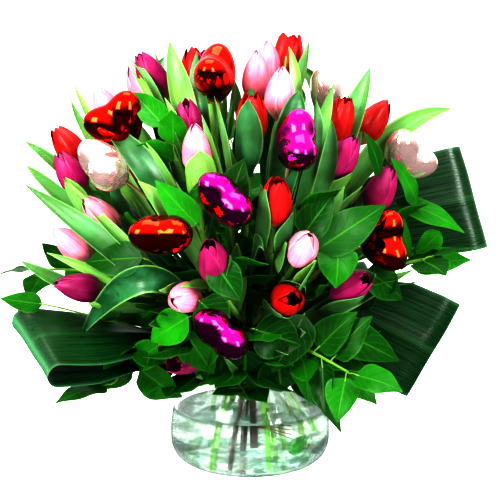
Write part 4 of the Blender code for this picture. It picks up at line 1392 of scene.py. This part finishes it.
def make_lances():
    """The tulip leaves that show most, in groups of like place."""
    for name, rows in by_side(LANCES, 45):
        bm = new_mesh()
        for tip, base, half, turn, bow, tone in rows:
            end = spot(*tip)
            middle = spot(*base)
            root = neck_centre().lerp(middle, 0.55)
            ahead = (end - middle).normalized()
            plain = square_to(ahead, Vector((0, -1, 0.45)))
            face = Matrix.Rotation(math.radians(turn), 3, ahead) @ plain
            add_lance(bm, root, middle, end, half / 1000, face, bow / 1000, tone)
        finish_piece(f"tulip_leaves_{name}", bm, lance_finish())


# --- Hearts ---------------------------------------------------------------------------------
def heart_point(x, y, z, sizes):
    """A unit ball's point drawn out to a puffed heart: tip at the base, lobes at the top."""
    near = math.sqrt(x * x + 0.02)
    along = 0.9 * y + 0.6 * near
    low, high = -0.9 + 0.6 * math.sqrt(0.02), 1.09
    share = (along - low) / (high - low)
    cleft = math.exp(-((x / 0.24) ** 2)) * max(0.0, share - 0.3)
    plump = (0.66 + 0.34 * math.sin(math.pi / 2 * min(1.0, share / 0.55))) * (1 - 0.30 * cleft)
    return x * sizes.heart_width / 2, share * HEART_LENGTH, z * sizes.heart_depth / 2 * plump


def make_heart(row, stem):
    sizes = settings().flower
    bm = new_mesh()
    made = bmesh.ops.create_uvsphere(bm, u_segments=56, v_segments=36, radius=1)["verts"]
    across = square_to(stem.way, Vector(row[6]))
    through = stem.way.cross(across)
    layer = bm.verts.layers.float_vector[PLACE]
    for vert in made:
        x, along, z = heart_point(*vert.co, sizes)
        if row[0] == "magenta":
            cell = noise.voronoi(vert.co * 2.6 + stem.base * 9)[0]
            z *= 1 - sizes.crinkle * 60 * (cell[0] - 0.3)
            x *= 1 - sizes.crinkle * 25 * (cell[0] - 0.3)
        vert[layer] = (vert.co.x / 2 + 0.5, vert.co.y / 2 + 0.5, 0.5)
        vert.co = stem.base + across * x + stem.way * along + through * z
    bmesh.ops.recalc_face_normals(bm, faces=bm.faces)
    finish = FINISHES["foil_" + row[0]]()
    finish_piece(f"{stem.node}_foil", bm, finish, (stem.node,), 70)
    stick = new_mesh()
    tube(stick, stem.stalk() + [stem.base + stem.way * STALK_SINK], HEART_STICK, 8)
    finish_piece(f"{stem.node}_stick", stick, stick_finish(), (stem.node,))


# --- Looped leaves --------------------------------------------------------------------------
def loop_spine(start, fold, wide, back, bend_steps=4, shares=(0.0, 0.3, 0.65, 1.0), ends=(0.35, 0.7)):
    """Out from the stalk's end to the fold and round it, back beside the way out."""
    start, fold = Vector(start) / 1000, Vector(fold) / 1000
    out_way = (fold - start).normalized()
    turn_way = out_way.cross(square_to(out_way, Vector(wide))) * math.copysign(1, back)
    radius = abs(back) / 2000
    straight = (fold - start).length - radius
    points = [start + out_way * (straight * share) for share in shares]
    centre = points[-1] + turn_way * radius
    for i in range(1, bend_steps + 1):
        turn = math.pi * i / bend_steps
        off = out_way * math.sin(turn) - turn_way * math.cos(turn)
        points.append(centre + off * radius)
    end = points[-1]
    return points + [end - out_way * (straight * share) for share in ends]


def strip_frames(spine, wide):
    frames = []
    for i, point in enumerate(spine):
        before = spine[max(i - 1, 0)]
        after = spine[min(i + 1, len(spine) - 1)]
        ahead = (after - before).normalized()
        across = square_to(ahead, Vector(wide))
        frames.append((point, across, ahead.cross(across)))
    return frames


def loop_cover(start, fold, wide, back):
    balls = []
    spine = loop_spine(start, fold, wide, back)
    for (point, across, _), share in zip(strip_frames(spine, wide), LOOP_OUTLINE):
        balls += [point + across * (LOOP_HALF_WIDTH * share * step / 5) for step in range(-5, 6)]
    return balls


def path_lengths(points):
    steps = [0.0]
    for one, other in zip(points, points[1:]):
        steps.append(steps[-1] + (other - one).length)
    return steps


def make_loop(row, stem):
    """A broad ribbed leaf folded over on itself, on its stalk."""
    _, start, fold, wide, back = row
    plain = loop_spine(start, fold, wide, back)
    fine_shares = [i / 16 for i in range(17)]
    fine = loop_spine(start, fold, wide, back, 16, fine_shares, [0.06 * i for i in range(1, 13)])
    plain_steps, fine_steps = path_lengths(plain), path_lengths(fine)
    rows = 64
    whole = fine_steps[-1]
    spine = []
    for i in range(rows + 1):
        at = whole * i / rows
        spine.append(Vector([float(np.interp(at, fine_steps, [p[k] for p in fine])) for k in range(3)]))
    frames = strip_frames(spine, wide)
    fold_at = (fine_steps[16] + fine_steps[32]) / 2 / whole
    bm = new_mesh()

    def surface(u, v):
        point, across, up = frames[round(v * rows)]
        at = v * whole
        half = LOOP_HALF_WIDTH * float(np.interp(at, plain_steps, LOOP_OUTLINE))
        flat = 1 - math.exp(-(((v - fold_at) / 0.12) ** 2))
        dip = 0.0035 * flat * (math.exp(-((u / 0.25) ** 2)) - 0.3)
        wave = 0.0022 * math.sin(9 * v + 2.2 * u + back) * u * u
        return point + across * (half * u) + up * (dip + wave)

    sheet(bm, 20, rows, surface, STRAP_THICKNESS, 0.0)
    layer = bm.verts.layers.float_vector[PLACE]
    for vert in bm.verts:
        place = vert[layer]
        # Painted sheen: a light band across the fold, and a lighter edge, go into the tone.
        fold_sheen = math.exp(-(((place[1] - fold_at) / 0.022) ** 2))
        edge = 0.5 * math.exp(-(((abs(place[0] - 0.5) - 0.5) / 0.012) ** 2))
        vert[layer] = (place[0], place[1], max(fold_sheen, edge))
    finish_piece(f"{stem.node}_blade", bm, strap_finish(), (stem.node,))
    stalk = new_mesh()
    tube(stalk, stem.stalk() + [plain[1]], LOOP_STALK, 8, 0.3, 0.5)
    finish_piece(f"{stem.node}_stalk", stalk, green_stalk(), (stem.node,))


# --- Salal ----------------------------------------------------------------------------------
def dome_reach(way):
    """From the neck to the round outline of the whole bunch in the given direction."""
    low, high = CAD_BOX
    centre = Vector(((low.x + high.x) / 2 + DOME_SHIFT, 0, DOME_HEIGHT))
    to_centre = centre - neck_centre()
    along = to_centre.dot(way)
    return along + math.sqrt(max(0.0, DOME_RADIUS ** 2 - to_centre.length_squared + along * along))


def inside(point):
    """Within the solid part's box, and not hanging low beside the vase."""
    low, high = CAD_BOX
    boxed = all(low[k] - BOX_MARGIN < point[k] < high[k] + BOX_MARGIN for k in range(3))
    return boxed and (point.z > HANG_HEIGHT or math.hypot(point.x, point.y) < HANG_REACH)


def add_sprig_leaves(bm, twig, path, count, room, rng):
    """Leaves in turn down the outer part of a sprig, where they clear the heads."""
    sizes = settings().foliage
    last = len(path) - 1
    for i in range(count):
        index = max(1, round(last * (1 - 0.085 * i)))
        root = path[index]
        ahead = (path[index] - path[index - 1]).normalized()
        face = square_to(ahead, (root - OUTWARD_FROM).normalized() + Vector((0, 0, 0.25)))
        across = ahead.cross(face) * (1 if i % 2 else -1)
        for _ in range(5):
            angle = math.radians(rng.uniform(10, 30) if i == 0 else rng.uniform(40, 85))
            way = (ahead * math.cos(angle) + across * math.sin(angle) + face * rng.uniform(-0.1, 0.25))
            way.normalize()
            stalk = root + way * 0.007
            size = sizes.ovate_length * rng.uniform(0.75, 1.15)
            tip = stalk + way * size + Vector((0, 0, -0.004))
            half = sizes.ovate_half * rng.uniform(0.85, 1.2)
            side = way.cross(face).normalized() * half * 0.8
            middle = stalk.lerp(tip, 0.45)
            probes = [middle, middle + side, middle - side, tip]
            if inside(tip) and room.clearance(probes) > SPRIG_CLEAR:
                look = square_to(way, face + across * rng.uniform(-0.5, 0.3))
                add_ovate(bm, stalk, tip, half, look, rng.uniform(0.05, 0.75), rng)
                tube(twig, [root, root.lerp(stalk, 0.5) + face * 0.001, stalk + way * 0.004], 0.0008, 5)
                break


def make_sprig(name, path, radius, count, room, rng, nodes=()):
    leaves = new_mesh()
    twig = new_mesh()
    tube(twig, path, radius, 7, 0.5, 0.45)
    add_sprig_leaves(leaves, twig, path, count, room, rng)
    finish_piece(f"{name}_leaves", leaves, ovate_finish(), nodes)
    finish_piece(f"{name}_twig", twig, green_twig(), nodes)


def make_filling_sprigs(room, rng):
    """Sprigs spread evenly over the dome, just under its outline."""
    count = settings().foliage.sprigs
    golden = math.pi * (3 - math.sqrt(5))
    for i in range(count):
        height = 1 - (i + 0.5) / count * SPRIG_DROP
        azimuth = math.degrees(golden * i)
        tilt = math.degrees(math.acos(height))
        way = direction(azimuth, tilt)
        reach = dome_reach(way) * (rng.uniform(0.80, 0.90) if i % 3 else rng.uniform(0.6, 0.7))
        tip = neck_centre() + way * reach
        start = neck_centre() + way * 0.012 + Vector((0, 0, 0.004))
        lift = Vector((0, 0, 0.35 * reach))
        path = bezier((start, start + lift * 0.7, tip.lerp(start, 0.35) + lift * 0.2, tip), 14)
        make_sprig(f"salal_filling_{i + 1:02d}", path, FILLING_TWIG, 9, room, rng)


def make_shown_ovates(rng):
    """The glossy leaves that show most, each on its own small stalk."""
    for name, rows in by_side(OVATES, 25):
        leaves, stalks = new_mesh(), new_mesh()
        for tip, base, half, tone in rows:
            end, start = spot(*tip), spot(*base)
            outward = (start - OUTWARD_FROM).normalized()
            face = (Vector((0, -0.9, 0.3)) + outward * 0.8).normalized()
            add_ovate(leaves, start, end, half / 1000, face, tone, rng)
            way = (end - start).normalized()
            root = neck_centre().lerp(start, 0.45)
            points = bezier((root, root.lerp(start, 0.5), start - way * 0.015, start + way * 0.003), 8)
            tube(stalks, points, SHOWN_STALK, 6, 0.5, 0.7)
        finish_piece(f"salal_shown_{name}_leaves", leaves, ovate_finish())
        finish_piece(f"salal_shown_{name}_stalks", stalks, green_twig())


# --- Stems in the water ---------------------------------------------------------------------
def make_water_stems(rng):
    for name, top, foot, radius, finish in WATER_STEMS:
        start, end = Vector(foot) / 1000, Vector(top) / 1000
        up = neck_centre() + Vector((end.x * 0.6, end.y * 0.6, 0.01))
        bulge = Vector((start.x * 0.12, start.y * 0.12, 0))
        points = bezier((start, start.lerp(end, 0.4) + bulge, end, up), 18)
        bm = new_mesh()
        tube(bm, points, radius / 1000, 14, rng.random(), 0.92)
        finish_piece(f"cut_stem_{name}", bm, FINISHES[finish]())
    make_side_twigs(rng)


def make_side_twigs(rng):
    """Reddish side twigs on the thick brown stem, and leaf scraps in the water."""
    bm = new_mesh()
    for height, reach, count in ((58, 34, 3), (40, 36, 6)):
        for i in range(count):
            start = Vector((4, -16, height)) / 1000
            away = Vector((reach, -6 + 4 * i, -5 + 3 * i - 8 * (i % 2))) / 1000
            rising = start + away * 0.3 + Vector((0, 0, 0.004))
            points = bezier((start, rising, start + away * 0.7, start + away), 6)
            tube(bm, points, SIDE_TWIG, 5, 0.5, 0.4)
    finish_piece("cut_stem_side_twigs", bm, red_twig())
    scraps = new_mesh()
    for start, end, half in LEAF_SCRAPS:
        low, high = Vector(start) / 1000, Vector(end) / 1000
        add_ovate(scraps, low, high, half / 1000, Vector((0, -1, 0.4)), 0.9, rng)
    finish_piece("leaf_scraps", scraps, ovate_finish())


# --- Stage ----------------------------------------------------------------------------------
def mirrored(graph, rays):
    """1 for what a mirror shows directly, and 0 for reflections inside glass or water."""
    outside = graph.math("SUBTRACT", 1.0, graph.math("MINIMUM", rays["Transmission Depth"], 1.0))
    return graph.math("MULTIPLY", rays["Is Glossy Ray"], outside)


def stage_finish():
    """Pale floor. Mirrors see it darker than the eye does, as they would in a deep studio."""
    made = bpy.data.materials.new("Pale floor")
    made.use_nodes = True
    graph = Graph(made.node_tree)
    shader = made.node_tree.nodes["Principled BSDF"]
    shader.inputs["Base Color"].default_value = (0.93, 0.93, 0.93, 1)
    shader.inputs["Roughness"].default_value = 0.9
    shader.inputs["Specular IOR Level"].default_value = 0.0
    shader.inputs["Emission Color"].default_value = (1, 1, 1, 1)
    shader.inputs["Emission Strength"].default_value = 0.75
    dark = graph.add("BsdfDiffuse", {"Color": (0.03, 0.03, 0.03, 1)})
    rays = graph.add("LightPath").outputs
    bounced = graph.math("MULTIPLY", rays["Is Diffuse Ray"], 0.35)
    share = graph.math("MAXIMUM", mirrored(graph, rays), bounced)
    both = graph.add("MixShader", {0: share, 1: shader.outputs[0], 2: dark.outputs[0]})
    output = made.node_tree.nodes["Material Output"]
    graph.tree.links.new(both.outputs[0], output.inputs["Surface"])
    return made


def make_floor():
    """A wide level floor."""
    bm = bmesh.new()
    bmesh.ops.create_grid(bm, x_segments=4, y_segments=4, size=FLOOR_REACH)
    mesh = bpy.data.meshes.new("studio_floor")
    bm.to_mesh(mesh)
    bm.free()
    mesh.shade_smooth()
    mesh.materials.append(stage_finish())
    floor = bpy.data.objects.new("studio_floor", mesh)
    bpy.context.scene.collection.objects.link(floor)


def make_world():
    """White to the eye and through glass, soft on matt things and dim in mirrors."""
    world = bpy.data.worlds.new("Studio")
    bpy.context.scene.world = world
    world.use_nodes = True
    graph = Graph(world.node_tree)
    background = world.node_tree.nodes["Background"]
    rays = graph.add("LightPath").outputs
    way = graph.add("SeparateXYZ", {0: graph.add("TexCoord").outputs["Generated"]}).outputs
    above = graph.rise(way[2], -0.05, 0.6, 0.96, 0.30)
    behind = graph.rise(way[1], 0.2, 0.75, 0.96, 0.15)
    dimmed = graph.math("MINIMUM", above, behind)
    strength = graph.math("SUBTRACT", 1.0, graph.math("MULTIPLY", rays["Is Diffuse Ray"], 0.80))
    strength = graph.math("SUBTRACT", strength, graph.math("MULTIPLY", mirrored(graph, rays), dimmed))
    background.inputs["Color"].default_value = (1, 1, 1, 1)
    graph.tree.links.new(strength, background.inputs["Strength"])


def softbox(name, place, width, height, power):
    light = bpy.data.lights.new(name, "AREA")
    light.shape = "RECTANGLE"
    light.size = width
    light.size_y = height
    light.energy = power
    lamp = bpy.data.objects.new(name, light)
    lamp.location = place
    lamp.rotation_euler = (Vector(LIT_POINT) - Vector(place)).to_track_quat("-Z", "Y").to_euler()
    bpy.context.scene.collection.objects.link(lamp)


def make_camera():
    camera_data = bpy.data.cameras.new("Camera")
    camera_data.sensor_width = 36
    camera_data.lens = CAMERA_LENS
    camera = bpy.data.objects.new("Camera", camera_data)
    camera.location = CAMERA_PLACE
    camera.rotation_euler = (math.radians(90 - CAMERA_PITCH), 0, 0)
    bpy.context.scene.collection.objects.link(camera)
    bpy.context.scene.camera = camera


# --- Operators ------------------------------------------------------------------------------
class BOUQUET_OT_vase(bpy.types.Operator):
    """Build the glass bowl, the water and the raffia tie"""

    bl_idname = "bouquet.vase"
    bl_label = "Vase, water and tie"

    def execute(self, context):
        stems, _ = bunch()
        make_vase()
        make_water()
        make_tie(stems)
        return {"FINISHED"}


class BOUQUET_OT_tulips(bpy.types.Operator):
    """Build every tulip with its stem and leaves"""

    bl_idname = "bouquet.tulips"
    bl_label = "Tulips"

    def execute(self, context):
        stems, room = bunch()
        rng = random.Random(7)
        for index, (row, stem) in enumerate(zip(TULIPS, stems), 1):
            make_tulip(index, row, stem, room, rng)
        make_lances()
        return {"FINISHED"}


class BOUQUET_OT_hearts(bpy.types.Operator):
    """Build the foil hearts on their sticks"""

    bl_idname = "bouquet.hearts"
    bl_label = "Foil hearts"

    def execute(self, context):
        stems, _ = bunch()
        for row, stem in zip(HEARTS, stems[len(TULIPS):]):
            make_heart(row, stem)
        return {"FINISHED"}


class BOUQUET_OT_straps(bpy.types.Operator):
    """Build the looped aspidistra leaves"""

    bl_idname = "bouquet.straps"
    bl_label = "Looped leaves"

    def execute(self, context):
        stems, _ = bunch()
        for row, stem in zip(LOOPS, stems[-len(LOOPS):]):
            make_loop(row, stem)
        return {"FINISHED"}


class BOUQUET_OT_salal(bpy.types.Operator):
    """Build the sprigs of glossy leaves"""

    bl_idname = "bouquet.salal"
    bl_label = "Salal"

    def execute(self, context):
        stems, room = bunch()
        rng = random.Random(21)
        first = len(TULIPS) + len(HEARTS)
        for stem in stems[first: first + len(SALAL)]:
            path = stem.path(14) + [stem.base + stem.way * 0.004]
            make_sprig(stem.node, path, WOODY_STEM, 8, room, rng, (stem.node,))
        make_shown_ovates(rng)
        make_filling_sprigs(room, rng)
        return {"FINISHED"}


class BOUQUET_OT_water_stems(bpy.types.Operator):
    """Build the cut stems that stand in the water"""

    bl_idname = "bouquet.water_stems"
    bl_label = "Stems in the water"

    def execute(self, context):
        make_water_stems(random.Random(3))
        return {"FINISHED"}


class BOUQUET_OT_stage(bpy.types.Operator):
    """Build the floor, the lights and the camera"""

    bl_idname = "bouquet.stage"
    bl_label = "Studio"

    def execute(self, context):
        make_floor()
        make_world()
        make_camera()
        for row in SOFTBOXES:
            softbox(*row)
        view = context.scene.view_settings
        view.view_transform = "Standard"
        view.look = "None"
        view.gamma = GAMMA
        view.exposure = EXPOSURE
        return {"FINISHED"}


class BOUQUET_PT_panel(bpy.types.Panel):
    """Sizes, colours and the building steps"""

    bl_idname = "BOUQUET_PT_panel"
    bl_label = "Bouquet"
    bl_space_type = "VIEW_3D"
    bl_region_type = "UI"
    bl_category = "Bouquet"

    def draw(self, context):
        bouquet = context.scene.bouquet
        for group in (bouquet.vase, bouquet.flower, bouquet.foliage, bouquet.colours):
            box = self.layout.box()
            for name in group.__annotations__:
                box.prop(group, name)
        for operator in OPERATORS:
            self.layout.operator(operator.bl_idname)


GROUPS = (VaseSizes, FlowerSizes, FoliageSizes, Colours, Bouquet)
OPERATORS = (
    BOUQUET_OT_vase, BOUQUET_OT_tulips, BOUQUET_OT_hearts, BOUQUET_OT_straps,
    BOUQUET_OT_salal, BOUQUET_OT_water_stems, BOUQUET_OT_stage,
)


def register():
    for made in GROUPS + OPERATORS + (BOUQUET_PT_panel,):
        bpy.utils.register_class(made)
    bpy.types.Scene.bouquet = PointerProperty(type=Bouquet)


def unregister():
    del bpy.types.Scene.bouquet
    for made in reversed(GROUPS + OPERATORS + (BOUQUET_PT_panel,)):
        bpy.utils.unregister_class(made)


def main():
    register()
    bpy.ops.bouquet.vase()
    bpy.ops.bouquet.tulips()
    bpy.ops.bouquet.hearts()
    bpy.ops.bouquet.straps()
    bpy.ops.bouquet.salal()
    bpy.ops.bouquet.water_stems()
    bpy.ops.bouquet.stage()
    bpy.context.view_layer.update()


if __name__ == "__main__":
    main()
